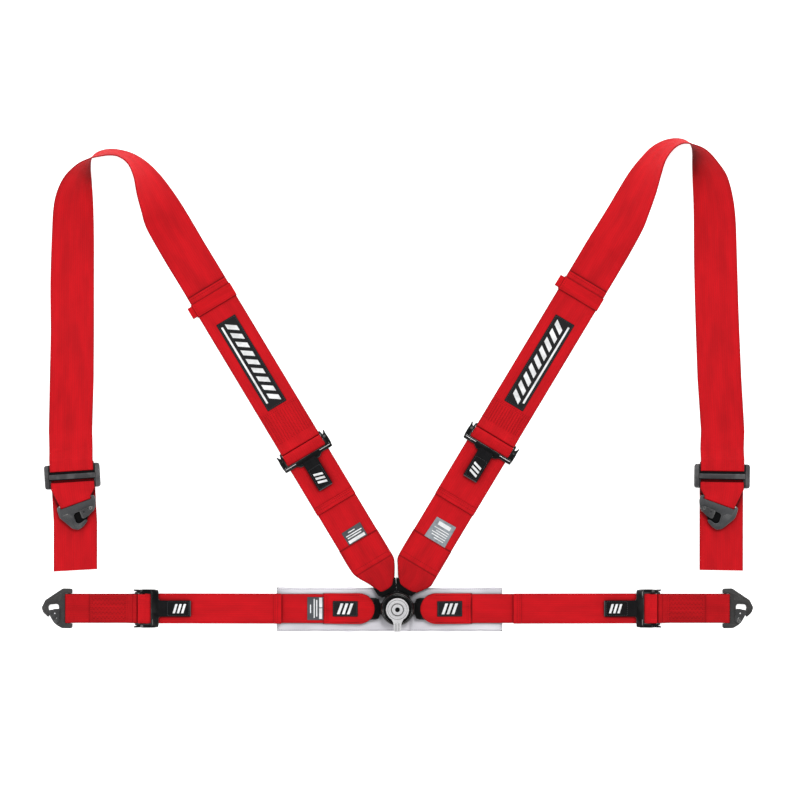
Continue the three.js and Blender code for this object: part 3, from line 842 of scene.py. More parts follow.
def belt_frame(side, kind):
    """The matrix from a belt's frame to the frame of the CAD bodies, both in millimetres."""
    sign = side["sign"]
    if kind == "lap":
        return Matrix.Rotation(0 if sign > 0 else math.pi, 4, "Z")
    angle = math.pi / 2 - sign * LEAN
    return Matrix.Translation((sign * side["foot"], 0, 0)) @ Matrix.Rotation(angle, 4, "Z")


def settle(body, slot, *pieces, stands_for=()):
    """Let the pieces ride on a body and hide the CAD nodes that they stand for; the slot is not used.
    """
    for piece in pieces:
        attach(piece, body)
    if stands_for:
        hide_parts(*stands_for)


def stretch(start_body, end_body, start_x, end_x, matrix, *pieces):
    """Bake each webbing piece's transform into its mesh; the bodies, places and matrix are not used.
    """
    for piece in pieces:
        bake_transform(piece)


def cloth(piece, width, length, rests_on, with_pieces=()):
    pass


# ---- Belt covers ---------------------------------------------------------------------------
# Each section: x, right edge y, left edge y, middle height, thickness.
COVERS = {
    "lap_left": [(40, -11.5, 12, 10.6, 6.5), (43, -16, 16.5, 10.6, 7.8), (49, -21, 20.5, 10.6, 9.2),
                 (56, -24.8, 24.4, 10.6, 10.2), (64, -26.8, 26.6, 10.4, 10.0),
                 (82, -26.8, 26.8, 9.4, 8.2), (130, -26.6, 26.6, 6.5, 3.4)],
    "shoulder_left": [(40, -14.5, 15.5, 10.6, 6.4), (46, -18.5, 16.8, 10.6, 7.6),
                      (56, -25.2, 19.5, 10.4, 9.4), (68, -32.5, 25.5, 9.6, 9.8),
                      (80, -38, 32.5, 8.2, 8.4), (94, -38.6, 37.6, 6.4, 6.6),
                      (138, -38.5, 38.5, 2.3, 3.5)],
    "shoulder_right": [(43.5, -22.8, 13.6, 10.6, 6.4), (48, -25.6, 16.2, 10.6, 7.6),
                       (57, -31.2, 22, 10.3, 9.2), (68, -38, 29, 9.4, 9.6),
                       (80, -38.6, 36.6, 8.0, 8.2), (94, -38.6, 38.4, 6.4, 6.6),
                       (138, -38.5, 38.5, 2.3, 3.5)],
}
COVERS["lap_right"] = [(x, -left, -right, z, thick) for x, right, left, z, thick in COVERS["lap_left"]]
COVER_WALL = 1.3
COVER_STEP = 2.5


SEAM_DEPTH = 0.9
LIP_REACH = 12.0


def seam_dip(x, groove):
    return SEAM_DEPTH * math.exp(-((x - groove) / 1.5) ** 2)


def cover_section(belt, x):
    """The cover's section at x, on a smooth curve through the listed ones."""
    rows = COVERS[belt]
    x = min(max(x, rows[0][0]), rows[-1][0])
    for i in range(len(rows) - 1):
        if x <= rows[i + 1][0]:
            break
    p0, p1, p2, p3 = (rows[min(max(j, 0), len(rows) - 1)] for j in (i - 1, i, i + 1, i + 2))
    width = p2[0] - p1[0]
    t = (x - p1[0]) / width
    values = []
    for k in range(1, 5):
        slope_1 = (p2[k] - p0[k]) / (p2[0] - p0[0])
        slope_2 = (p3[k] - p1[k]) / (p3[0] - p1[0])
        if p0 is p1:
            slope_1 = (p2[k] - p1[k]) / width
        if p3 is p2:
            slope_2 = (p2[k] - p1[k]) / width
        value = ((2 * t ** 3 - 3 * t ** 2 + 1) * p1[k] + (t ** 3 - 2 * t ** 2 + t) * width * slope_1
                 + (3 * t ** 2 - 2 * t ** 3) * p2[k] + (t ** 3 - t ** 2) * width * slope_2)
        values.append(value)
    return values


def cover_top(belt, groove):
    """Height of the cover's upper face, with a groove along its cross seam."""
    def height(x, y):
        right, left, middle, thick = cover_section(belt, x)
        offset = abs(y - (left + right) / 2) / ((left - right) / 2)
        crown = 1 - 0.22 * min(offset, 1) ** 2
        return middle + thick / 2 * crown - seam_dip(x, groove)
    return height


def cover(belt, matrix):
    """A pocket of webbing: it opens round the tongue and is sewn flat at its far end."""
    lanes = 16
    first, last = COVERS[belt][0][0], COVERS[belt][-1][0]
    groove = 128 if belt.startswith("lap") else 87
    count = int((last - first) / COVER_STEP)
    verts = []
    lane = []
    rings = 0

    def ring(x, inset):
        nonlocal rings
        right, left, middle, thick = cover_section(belt, x)
        seam = seam_dip(x, groove)
        half = (left - right) / 2 - inset
        deep = max(thick - 2 * inset, 0.3)
        for across, rise in section(half, deep, lanes):
            crown = 1 - 0.22 * (across / half) ** 2
            lift = rise * crown - (seam if rise > 0 and not inset else 0)
            mouth = max(0.0, 1 - (x - first) / LIP_REACH)
            droop = 1.6 * (abs(across) / half) ** 2 * mouth
            verts.append((x + droop * 1.4, (left + right) / 2 + across, middle + lift))
            lane.append((across, x, half - abs(across)))
        rings += 1

    for k in range(count, -1, -1):
        ring(first + (last - first - 1) * k / count, COVER_WALL)
    ring(first - 0.5, COVER_WALL * 0.5)
    for k in range(count + 1):
        ring(first + (last - first) * k / count, 0)
    faces = tube(rings, len(section(1, 1, lanes)))
    material = COVER_RED if belt.startswith("lap") else SHOULDER_COVER
    piece = make(f"belt_cover_{belt}", verts, faces, material, matrix, lane, sharp=60)
    settle(tongue_body(belt), "belt_cover", piece, stands_for=[f"belt_cover_{belt}"])
    return piece, cover_top(belt, groove), groove


# ---- Adjusters and the belts through them --------------------------------------------------
def adjuster(belt, spec, matrix):
    """The frame's two cheeks with their bosses, its front and fixed bars and the locking bar."""
    body = f"{belt}_adjuster"
    half, lock, edge = spec["half"], spec["lock"], spec["frame_half"]
    front, back = spec["front"]
    tip = spec["tip"]
    inner = half + 0.4
    parts = []
    for side in (1, -1):
        outline = [(lock + front, inner), (lock + FIXED_BAR + 1.6, inner),
                   (lock + FIXED_BAR + 1.6, inner + 2.6), (lock + tip - 7, inner + 3.6),
                   (lock + tip - 4.5, edge - 3.2), (lock + tip, edge - 1.6),
                   (lock + tip - 0.6, edge + 0.2), (lock + 2, edge - 0.4), (lock - 4, edge + 0.3),
                   (lock + front + 5, edge), (lock + front, edge - 4)]
        outline = [(x, side * y) for x, y in outline[::side]]
        hole = circle(lock + front + 7, side * (inner + 5), 1.3, 14)
        parts.append(plate(f"cheek_{belt}_{side}", [fillet(outline, 2.2), hole], LAYER_1,
                           CHEEK_TOP, 0.5, BLACK_STEEL, matrix))
        boss = [(0, 8.2), (2.3, 8.2), (2.3, 9.0), (1.9, 9.4), (0, 9.5)]
        seat = matrix @ Matrix.Translation((lock - 1, side * (inner + 4.6), 0))
        parts.append(lathe(f"boss_{belt}_{side}", boss, BLACK_STEEL, seat, sides=28))
    bar = [(lock + back, edge - 0.6), (lock + front, edge - 0.6)]
    bar += [(lock + front + x, y) for x, y in spec["lips"]]
    bar += [(x, -y) for x, y in bar[::-1]]
    outlines = [fillet(bar, 2.2)]
    if spec["slotted"]:
        outlines.append(fillet(oblong(lock + front - 1.6, -15, lock + front + 0.6, 15), 0.8))
    parts.append(plate(f"front_{belt}", outlines, 6.3, 8.9, 0.7, BLACK_STEEL, matrix))
    # On the slotted frames the ridges are silver: painted highlight lines along the front bar's edge
    # away from the buckle. On the others they are black steel like the frame.
    steel = SILVER if spec["slotted"] else BLACK_STEEL
    for side in (1, -1):
        low, high = sorted((side * spec["ridge_from"], side * (edge - 3.4)))
        parts.append(block(f"ridge_{belt}_{side}", (lock + back - 3.4, low, 8.4),
                           (lock + back - 2.3, high, 9.3), 0.4, steel, matrix))
    parts.append(rod(f"fixed_{belt}", BAR_RADIUS, inner + 0.8, BLACK_STEEL,
                     crosswise(matrix, lock + FIXED_BAR, BAR_Z), 24))
    piece = merge(f"adjuster_frame_{belt}", parts)
    settle(body, "black_steel", piece, stands_for=[f"adjuster_frame_{belt}"])
    seat = half + 3.3
    ends = [(0, -seat), (1.8, -seat), (BAR_RADIUS, -seat + 0.5), (BAR_RADIUS, seat - 0.5),
            (1.8, seat), (0, seat)]
    locking = lathe(f"lock_bar_{belt}", ends, GATE_GREY, crosswise(matrix, lock, BAR_Z), sides=28)
    settle(body, "gate_steel", locking, stands_for=[f"lock_bar_{belt}"])


def pull_tab(belt, spec, matrix):
    """A tab of black webbing: two plies sewn together, looped over the frame's front bar."""
    end = spec["lock"] + spec["front"][0] - 2
    hinge = end + 0.9
    nose = end - TAB_LENGTH
    half = spec["tab_half"]
    course = [(nose + 1, 7.9), (end - 4, 7.9), (hinge - 1, 6.9), (hinge + 0.6, 6.9),
              (hinge + 1.7, 8.0), (hinge + 1.5, 9.6), (hinge + 0.1, 10.3), (hinge - 1.6, 9.9),
              (end - 4, 9.2), (nose + 1, 9.2)]
    plies = [
        web(f"ply_{belt}", flat_run(course, half, 1.2, 4.0), TAB_BLACK, 1.1, 6, matrix),
        block(f"nose_{belt}", (nose - 0.4, -half + 0.4, 7.3), (nose + 2.2, half - 0.4, 9.8),
              0.9, TAB_THREAD, matrix)]
    piece = merge(f"pull_tab_{belt}", plies)
    surface = level(9.75)
    rows = box_rows(nose + 3.5, -half + 2.2, nose + 40, half - 2.2)
    seams = stitching(f"tab_stitches_{belt}", rows, surface, TAB_THREAD, matrix)
    first = nose + spec["tab_marks"]
    marks = racing_bars(f"tab_bars_{belt}", first, first + 22, 8.0, 3, surface, LABEL_WHITE,
                        matrix, slant=0.3)
    settle(f"{belt}_tab", "tab_webbing", piece, seams, marks, stands_for=[f"pull_tab_{belt}"])
    cloth(piece, 2 * half, 2 * TAB_LENGTH + 6, [f"free_tail_{belt}"], [seams, marks])


def lower_belt(belt, spec, matrix, tag_style):
    """Tongue to adjuster, round the locking bar, and the free tail back on top."""
    half, lock, end = spec["half"], spec["lock"], spec["tail_end"]
    adjuster_body = f"{belt}_adjuster"
    run = [*spec["run"][:-1], (lock - 4, LAYER_1)]
    stations = flat_run(run, half, 8.0)
    turn = [(lock, 1), (lock + 3.2, 2.4), (lock + 4.2, 5.4), (lock + 5.2, 8.2), (lock + 5.0, 10.4),
            (lock + 2.0, 11.4), (lock - 3.0, 10.6), (lock - 6.5, 9.2)]
    stations += flat_run(turn, half, 2.2, 4.0)
    strap = web(f"lower_belt_{belt}", stations, RED, matrix=matrix)
    pieces = [strap]
    if tag_style:
        pieces += tag(belt, tag_style, matrix, lambda x, y: height_on(run, x) + WEB / 2)
    cover_end = COVERS[belt][-1][0]
    stretch(tongue_body(belt), adjuster_body, cover_end + 52, lock - 14, matrix, *pieces)
    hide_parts(f"lower_belt_{belt}", f"belt_turn_{belt}")
    cloth(strap, 2 * half, lock - run[0][0] + 25, ["floor"], pieces[1:])

    front, back = spec["front"]

    def tail_mid(x):
        return height_on(run, x) + spec["tail_lift"] + WEB

    near = lock + front - 4
    course = [(lock - 6.5, 9.2), (lock + back + 4.0, 7.6), (lock + back - 1, 5.0),
              (near, max(tail_mid(near), 4.4)), (near - 18, tail_mid(near - 18)),
              (end + 60, tail_mid(end + 60)), (end + 1, tail_mid(end))]
    tail = web(f"free_tail_{belt}", flat_run(course, half + 0.7, 5.0, 6.0), RED, matrix=matrix)
    course = [(end + 12, tail_mid(end + 12) + 1.55), (end + 0.4, tail_mid(end) + 1.5),
              (end - 0.6, tail_mid(end) + 0.5), (end - 0.6, tail_mid(end) - 0.3)]
    hem = web(f"tail_hem_{belt}", flat_run(course, half + 0.7, 0.8, 3.0), RED, 1.2, 10, matrix)
    rows = [((end + x, -half + 2), (end + x, half - 2)) for x in (9.6, 5.4)]
    seams = stitching(f"hem_stitches_{belt}", rows, lambda x, y: tail_mid(x) + 2.1, THREAD, matrix)
    stretch(adjuster_body, f"{belt}_tail", lock - 34, end + 24, matrix, tail, hem, seams)
    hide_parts(f"free_tail_{belt}")
    cloth(tail, 2 * half, lock - end, [f"lower_belt_{belt}"], [seams])
    cloth(hem, 2 * half, 15, [f"free_tail_{belt}"])


# ---- Snap hooks ----------------------------------------------------------------------------
LAP_HOOK = {
    "outline": [
        (3.1, -34.9), (33.5, -14.6), (39.8, -1.7), (37, 7), (28.1, 15.3), (26, 12), (26.5, 4.5),
        (28, -2.5), (25.5, -6.8), (12, -7.8), (9.6, -5), (9.2, 14), (13, 17), (19.2, 20),
        (19.2, 24), (14, 28.8), (4.4, 34.4)],
    "ridge": [
        (5.4, -27), (31, -11.2), (36.2, -1.2), (34.4, 5.6), (31.4, 8.4), (32.3, -1.2),
        (28.8, -9.6), (10, -12.4), (5.4, -16)],
    "gate": [(8, 0.4), (17, 0.4), (20, 1.8), (26.6, 2.4), (27.4, 7), (25.2, 12), (21, 20),
             (17, 26), (12, 26), (8.4, 22)],
    "throat_shade": None, "wing": -14.0, "slot_half": 25.9, "bar_half": 28.0,
}
SHOULDER_HOOK = {
    "outline": [
        (8.9, -35.2), (13.3, -34.6), (37.3, -20.5), (42.5, -12.2), (40.5, -2.8), (35, 6.4),
        (31.4, 9.2), (29.6, 5.4), (32.5, -2), (32.5, -8), (29, -11.4), (16, -10.8), (13.4, -7.5),
        (12.5, 10), (14, 17), (19.2, 20), (21.8, 22.7), (15.4, 29.2), (4.4, 34.4)],
    "ridge": [
        (10, -29), (35, -17.6), (39.2, -11.6), (37.8, -4), (33.5, 3.6), (35.6, -3.2),
        (35.4, -9.8), (30.4, -14.6), (15, -14), (10, -20)],
    "gate": [(12, 1.5), (25.5, 1.5), (27.4, 4), (25.4, 14), (22, 20), (19, 27), (12, 27),
             (10.4, 22)],
    "throat_shade": [(10.5, -12.6), (34, -12.6), (31.5, 7), (25, 14), (10.5, 12)], "wing": -6.0,
    "slot_half": 28.8, "bar_half": 30.2,
}
GATE_STOP = [(20, 4.6), (25, 4.6), (25.4, 11), (20, 12.5)]


def snap_hook(belt, hand, shape, place, steel):
    """A hook plate with its webbing slot, a sprung gate across its throat and the rivet.

    The shoulder hooks have a black sheet behind the throat: painted shade for its deep shadow."""
    def turned(outline):
        flipped = [(x, hand * y) for x, y in outline]
        return flipped if hand > 0 else flipped[::-1]

    low, high = -HOOK_THICK / 2, HOOK_THICK / 2
    wing, slot, bar_half = shape["wing"], shape["slot_half"], shape["bar_half"]
    rim = [(wing, slot), (-0.9, slot), (-0.9, -slot), (wing, -slot), (wing, -33),
           (wing + 2.5, -34.6), *shape["outline"], (wing + 2.5, 34.6), (wing, 33)]
    bore = circle(GATE_PIVOT[0], hand * GATE_PIVOT[1], 1.8)
    body = plate(f"hook_plate_{belt}", [fillet(turned(rim), 2.4), bore], low, high, 0.7, steel,
                 place)
    bar = rod(f"hook_bar_{belt}", 2, bar_half, steel, crosswise(place, HOOK_AXIS, 0), 28)
    ridge = plate(f"hook_ridge_{belt}", [fillet(turned(shape["ridge"]), 1.6)], high - 0.6,
                  high + 0.45, 0.35, steel, place)
    parts = [body, bar, ridge]
    # A black sheet under the shoulder hook's throat: painted shade for the deep shadow there.
    if shape["throat_shade"]:
        parts.append(plate(f"hook_leaf_{belt}", [fillet(turned(shape["throat_shade"]), 2.0)], low - 0.2,
                           low + 0.5, 0.2, PRINT_AND_SHADE_BLACK, place))
    hook = merge(f"snap_hook_{belt}", parts)
    settle(f"{belt}_hook", "grey_steel", hook, stands_for=[f"snap_hook_{belt}"])
    gate_low, gate_high = high + GAP, high + GAP + 1.4
    hole = circle(16.6, hand * 8.4, 1.1)
    spring_hole = circle(13.4, hand * 17.0, 0.8)
    cheek = plate(f"gate_cheek_{belt}", [fillet(turned(shape["gate"]), 2.2), hole, spring_hole],
                  gate_low, gate_high, 0.4, GATE_GREY, place)
    stop = plate(f"gate_stop_{belt}", [fillet(turned(GATE_STOP), 1.0)], low, high + GAP + 1, 0.5,
                 GATE_GREY, place)
    gate = merge(f"hook_gate_{belt}", [cheek, stop])
    settle(f"{belt}_gate", "gate_steel", gate, stands_for=[f"hook_gate_{belt}"])
    head = gate_high + GAP
    rivet = lathe(f"gate_rivet_{belt}", [
        (0, low - 0.5), (1.5, low - 0.5), (1.5, head), (2.9, head), (2.9, head + 0.3),
        (2.3, head + 0.8), (1.2, head + 0.95), (0.8, head + 0.7), (0, head + 0.65)],
        GATE_GREY, place @ Matrix.Translation((GATE_PIVOT[0], hand * GATE_PIVOT[1], 0)), sides=32)
    settle(f"{belt}_hook", "silver_lever", rivet, stands_for=[f"gate_rivet_{belt}"])


# ---- Lap belts -----------------------------------------------------------------------------
def lap_belt(side):
    """A lap belt from its cover to its hook."""
    belt = f"lap_{side['name']}"
    matrix = belt_frame(side, "lap")
    sleeve, top, groove = cover(belt, matrix)
    seams = stitching(f"cover_stitches_{belt}", [
        ((groove, -24), (groove, 24)), ((groove - 4, -24), (groove - 4, 24)),
        ((121, -23.5), (121, 23.5)), ((66, -24), (118, -23.6)), ((66, 24), (118, 23.6)),
    ], top, THREAD, matrix)
    label = patch(f"cover_label_{belt}", oblong(69, -13.4, 112.5, 13.4), over(top, -0.1), 0.75,
                  LABEL_BLACK, matrix)
    face = over(top, 0.6)
    bars = racing_bars(f"cover_bars_{belt}", 78, 104, 9.4, 3, face, LABEL_WHITE, matrix, slant=0.35)
    border = stitching(f"label_stitches_{belt}", box_rows(70.6, -11.8, 110.9, 11.8), face,
                       TAB_THREAD, matrix)
    settle(tongue_body(belt), "belt_cover", seams, label, bars, border)
    cloth(sleeve, 4 * 26.5, 90, ["buckle_pad"], [seams, label, bars, border])
    lower_belt(belt, LAP, matrix, "lap" if side["name"] == "left" else None)
    adjuster(belt, LAP, matrix)
    pull_tab(belt, LAP, matrix)

    half, anchor = LAP["half"], LAP["lock"] + FIXED_BAR
    hook_axis, hook_z = LAP["hook"] + HOOK_AXIS, 4.3
    middle = (anchor + hook_axis) / 2
    course = [(middle - 24, LAYER_1)] + arc(anchor, BAR_Z, BAR_LOOP, 270, 90)
    course += [(anchor + 9, 6.6), (anchor + 16, LAYER_2), (hook_axis - 13, LAYER_2),
               (hook_axis - 6, 6.0)]
    course += arc(hook_axis, hook_z, HOOK_LOOP, 90, -90) + [(middle - 23.4, LAYER_1)]
    strap = web(f"outer_belt_{belt}", flat_run(course, half, 2.0, 6.0), OUTER_RED, matrix=matrix)
    course = [(461.5, 7.9), (465, 6.9), (470, 5.05), (536, 5.05)]
    fold = web(f"belt_fold_{belt}", flat_run(course, half - 0.2, 2.0, 6.0), OUTER_RED, 1.5,
               matrix=matrix)
    rows = box_rows(474, -21, 532, 21)
    for y in (-16, -8, 0, 8, 16):
        rows += zigzag(474, 532, y, 2.6, 18)
    rows += [((x, -22.5), (x, 22.5)) for x in (534.5, 470.5)]
    seams = stitching(f"outer_stitches_{belt}", rows, level(5.75), THREAD, matrix)
    settle(f"{belt}_adjuster", "webbing", strap, fold, seams, stands_for=[f"outer_belt_{belt}"])
    cloth(strap, 2 * half, 275, ["floor"], [seams])
    cloth(fold, 2 * half, 74, [f"outer_belt_{belt}"])
    place = matrix @ Matrix.Translation((LAP["hook"], 0, hook_z))
    snap_hook(belt, -side["sign"], LAP_HOOK, place, HOOK_GREY)


# ---- Shoulder belts ------------------------------------------------------------------------
def catmull(points, t):
    """A point at share t of a smooth curve through the points."""
    place = t * (len(points) - 1)
    i = min(int(place), len(points) - 2)
    local = place - i
    p0, p1, p2, p3 = (Vector(points[min(max(j, 0), len(points) - 1)])
                      for j in (i - 1, i, i + 1, i + 2))
    return 0.5 * (2 * p1 + (p2 - p0) * local + (2 * p0 - 5 * p1 + 4 * p2 - p3) * local ** 2
                  + (3 * p1 - p0 - 3 * p2 + p3) * local ** 3)


def upper_stations(side):
    """The upper belt from its folded end to the tail of the riser."""
    sign = side["sign"]
    half = SHOULDER["half"]
    matrix = belt_frame(side, "shoulder")
    across = Vector((math.cos(LEAN), -sign * math.sin(LEAN), 0)) * sign * half
    anchor = side["lock"] + FIXED_BAR
    fold_end = side["keeper"] + KEEPER_LENGTH + FOLD_END
    course = [(fold_end, LAYER_2), (anchor + 15, LAYER_2), (anchor + 7, 6.9)]
    course += arc(anchor, BAR_Z, BAR_LOOP, 90, 270)
    course += [(fold_end + 30, LAYER_1)]
    stations = [(matrix @ Vector((x, 0, z)), across) for x, z in fillet(course, 3.0, closed=False)]

    steps = 110
    edges = [(sign * x, y, LAYER_1) for x, y, dx, dy in side["arch"]]
    offsets = [(sign * dx, dy, 0) for x, y, dx, dy in side["arch"]]
    for k in range(steps + 1):
        lean = catmull(offsets, k / steps)
        rise = math.sqrt(max((2 * half) ** 2 - lean.length_squared, 0))
        half_vector = Vector((lean.x, lean.y, rise)).normalized() * half
        stations.append((catmull(edges, k / steps) + half_vector, half_vector))

    straight = Vector((sign * half, 0, 0))
    top_a = SLIDE_Y + SLIDE_CENTRE / 2 + SLIDE_GAP + SLIDE_BAR
    slot_ab = SLIDE_Y + SLIDE_CENTRE / 2 + SLIDE_GAP / 2
    slot_bc = SLIDE_Y - SLIDE_CENTRE / 2 - SLIDE_GAP / 2
    end_c = slot_bc - SLIDE_GAP / 2 - SLIDE_BAR
    layer = WEB + GAP
    above = SLIDE_Z[1] + GAP + WEB / 2
    below = SLIDE_Z[0] - GAP - WEB / 2
    back = LAYER_1 + WEB + 0.4

    tilt = tilt_of(side).to_3x3()
    centre = Vector((sign * side["riser"], SLIDE_Y, 0))

    def riser(points, radius):
        rounded = fillet(points, radius, closed=False)
        return [(centre + tilt @ Vector((0, y - SLIDE_Y, z)), tilt @ straight) for y, z in rounded]

    stations.append((Vector((sign * side["riser_bend"], 310, LAYER_1)), straight))
    ab = slot_ab + 0.7
    bc = slot_bc - 0.7
    stations += riser([(top_a + 26, 3.2), (top_a + 8, above + layer - 0.6),
                       (ab - layer / 2, above + layer), (ab - layer / 2, below),
                       (bc, below), (bc, above), (end_c - 1, above)], 2.0)
    place = hook_place(side)
    gathered = place.to_3x3() @ Vector((0, 1, 0)) * -sign * GATHERED_HALF
    gathered = gathered if gathered.dot(straight) > 0 else -gathered
    for x, z in arc(HOOK_AXIS, 0, HOOK_LOOP, 90, -90):
        stations.append((place @ Vector((x, 0, z)), gathered))
    stations += riser([(end_c - 3, back), (ab + layer / 2, back), (ab + layer / 2, above),
                       (top_a + 2.6, above), (top_a + 2.6, LAYER_1), (top_a - 30, LAYER_1)], 2.0)
    hem = Matrix.Rotation(sign * math.radians(-side["slant"]), 3, "Z") @ straight
    for y, half_vector in ((150, straight), (66, hem)):
        stations.append((Vector((sign * side["tail"], y, LAYER_1)), half_vector))
    return span(stations, 8.0)


def hook_place(side):
    """The shoulder hook's frame."""
    sign = side["sign"]
    turn = Matrix.Rotation(-math.pi / 2 - sign * HOOK_TURN, 4, "Z")
    return Matrix.Translation((sign * HOOK_TIP[0], HOOK_TIP[1], 6.7)) @ turn


def keeper(side, matrix):
    """A loop of webbing round both layers, with its sewn ends standing out as a tab."""
    name = side["name"]
    start, middle = side["keeper"], side["keeper"] + KEEPER_LENGTH / 2
    inner = SHOULDER["half"] + 0.9
    half = Vector((KEEPER_LENGTH / 2, 0, 0))
    course = [(inner, 0.9), (inner, 4.4), (inner - 1.6, 5.5), (-inner + 1.6, 5.5), (-inner, 4.4),
              (-inner, 0.9)]
    stations = [(Vector((middle, y, z)), half) for y, z in fillet(course, 1.4, closed=False)]
    loop = web(f"keeper_loop_{name}", span(stations, 6.0), COVER_RED, 1.4, 8, matrix)
    tab = [(Vector((middle, y, z)), Vector((EAR_LENGTH / 2, 0, 0)))
           for y, z in ((inner - 0.6, 4.8), (inner + 2, 4.4), (inner + 8.4, 4.2))]
    ear = web(f"keeper_ear_{name}", span(tab, 3.0), COVER_RED, 2.8, 8, matrix)
    piece = merge(f"keeper_{name}", [loop, ear])
    row = ((start + 3, inner - 5), (start + KEEPER_LENGTH - 3, inner - 5))
    seams = stitching(f"keeper_stitches_{name}", [row], level(6.15), THREAD, matrix)
    settle(f"{name}_keeper", "webbing", piece, seams, stands_for=[f"keeper_{name}"])
    cloth(piece, KEEPER_LENGTH, 110, [f"upper_belt_{name}"], [seams])


def slide(side):
    """The three-bar slide, threaded so that only its middle bar and its ends show."""
    name, sign = side["name"], side["sign"]
    half_y = SLIDE_CENTRE / 2 + SLIDE_GAP + SLIDE_BAR
    rim = oblong(-SLIDE_HALF_X, -half_y, SLIDE_HALF_X, half_y)
    inner = SHOULDER["half"] - 0.8
    bar = 4.4
    outer = SLIDE_CENTRE / 2 + SLIDE_GAP
    holes = [fillet(oblong(-inner, low, inner, high), 1.6)
             for low, high in ((bar, outer), (-outer, -bar))]
    place = Matrix.Translation((sign * side["riser"], SLIDE_Y, 0)) @ tilt_of(side)
    body = plate(f"slide_plate_{name}", [fillet(rim, 5.0), *holes], *SLIDE_Z, 0.7, SLIDE_BLACK,
                 place)
    crown = block(f"slide_crown_{name}", (-inner - 3, -bar, SLIDE_Z[1] - 0.5),
                  (inner + 3, bar, SLIDE_CROWN), 1.3, SLIDE_BLACK, place)
    cheeks = [block(f"slide_cheek_{name}_{k}", (x - 3.6, -half_y + 0.8, SLIDE_Z[1] - 0.5),
                    (x + 3.6, half_y - 0.8, SLIDE_CROWN - 0.6), 1.5, SLIDE_BLACK, place)
              for k, x in enumerate((-SLIDE_HALF_X + 4.6, SLIDE_HALF_X - 4.6))]
    # Black strips along both edges of the middle bar, wider than it: painted shade where the webbing
    # dives into the slots.
    lips = [block(f"slide_lip_{name}_{k}", (-inner - 1.6, low, SLIDE_Z[0] + 0.2),
                  (inner + 1.6, high, SLIDE_CROWN - 1.2), 0.3, PRINT_AND_SHADE_BLACK, place)
            for k, (low, high) in enumerate(((-bar - 1.5, -bar + 0.6), (bar - 0.6, bar + 3.4)))]
    piece = merge(f"three_bar_slide_{name}", [body, crown, *cheeks, *lips])
    settle(f"shoulder_{name}_adjuster", "black_plastic", piece,
           stands_for=[f"three_bar_slide_{name}"])


def tilt_of(side):
    """The small turn that the slide lies at."""
    return Matrix.Rotation(math.radians(side["tilt"]), 4, "Z")


# Each tag: its outline, its material and the white bars on it as near x, right y, far x, left y.
TAGS = {
    "lap": (oblong(129, -20, 157, 20), TAG_GREY, [
        (131, -19, 136.4, -2), (131, -0.5, 136.4, 18), (139.5, -15, 141.6, 14),
        (144, -17, 145.8, 16), (150.4, -7, 152.2, 8)]),
    "dark": ([(138.4, -19), (164, -19.2), (163.2, 18.6), (138.4, 18)], TAG_GREY, [
        (140, -16.5, 145.6, 15.5), (148.4, -13, 150.4, 14), (152.6, -16, 154.4, 15),
        (157.6, -5, 159.2, 8)]),
    "clear": ([(137.4, 16.7), (137.6, -24.6), (178.5, -23.5), (177.5, 14.7)], TAG_CLEAR, [
        (166.5, -17, 173.5, 7), (160.4, -19, 162, 10), (156, -19, 157.6, 4),
        (151.8, -19, 153.4, 10), (147.4, -19, 149, 8), (143, -18, 144.6, 1)]),
}


def tag(belt, style, matrix, strap_top):
    """A tag sewn in at the cover's far end: dark and woven, or a card in clear film."""
    outline, material, rows = TAGS[style]
    body = patch(f"tag_{belt}", outline, strap_top, 0.6, material, matrix)
    name = f"tag_rows_{belt}"
    bars = [patch(f"{name}_{k}", oblong(*row), over(strap_top, 0.65), 0.1, LABEL_WHITE, matrix, 0.3)
            for k, row in enumerate(rows)]
    return [body, merge(name, bars)]


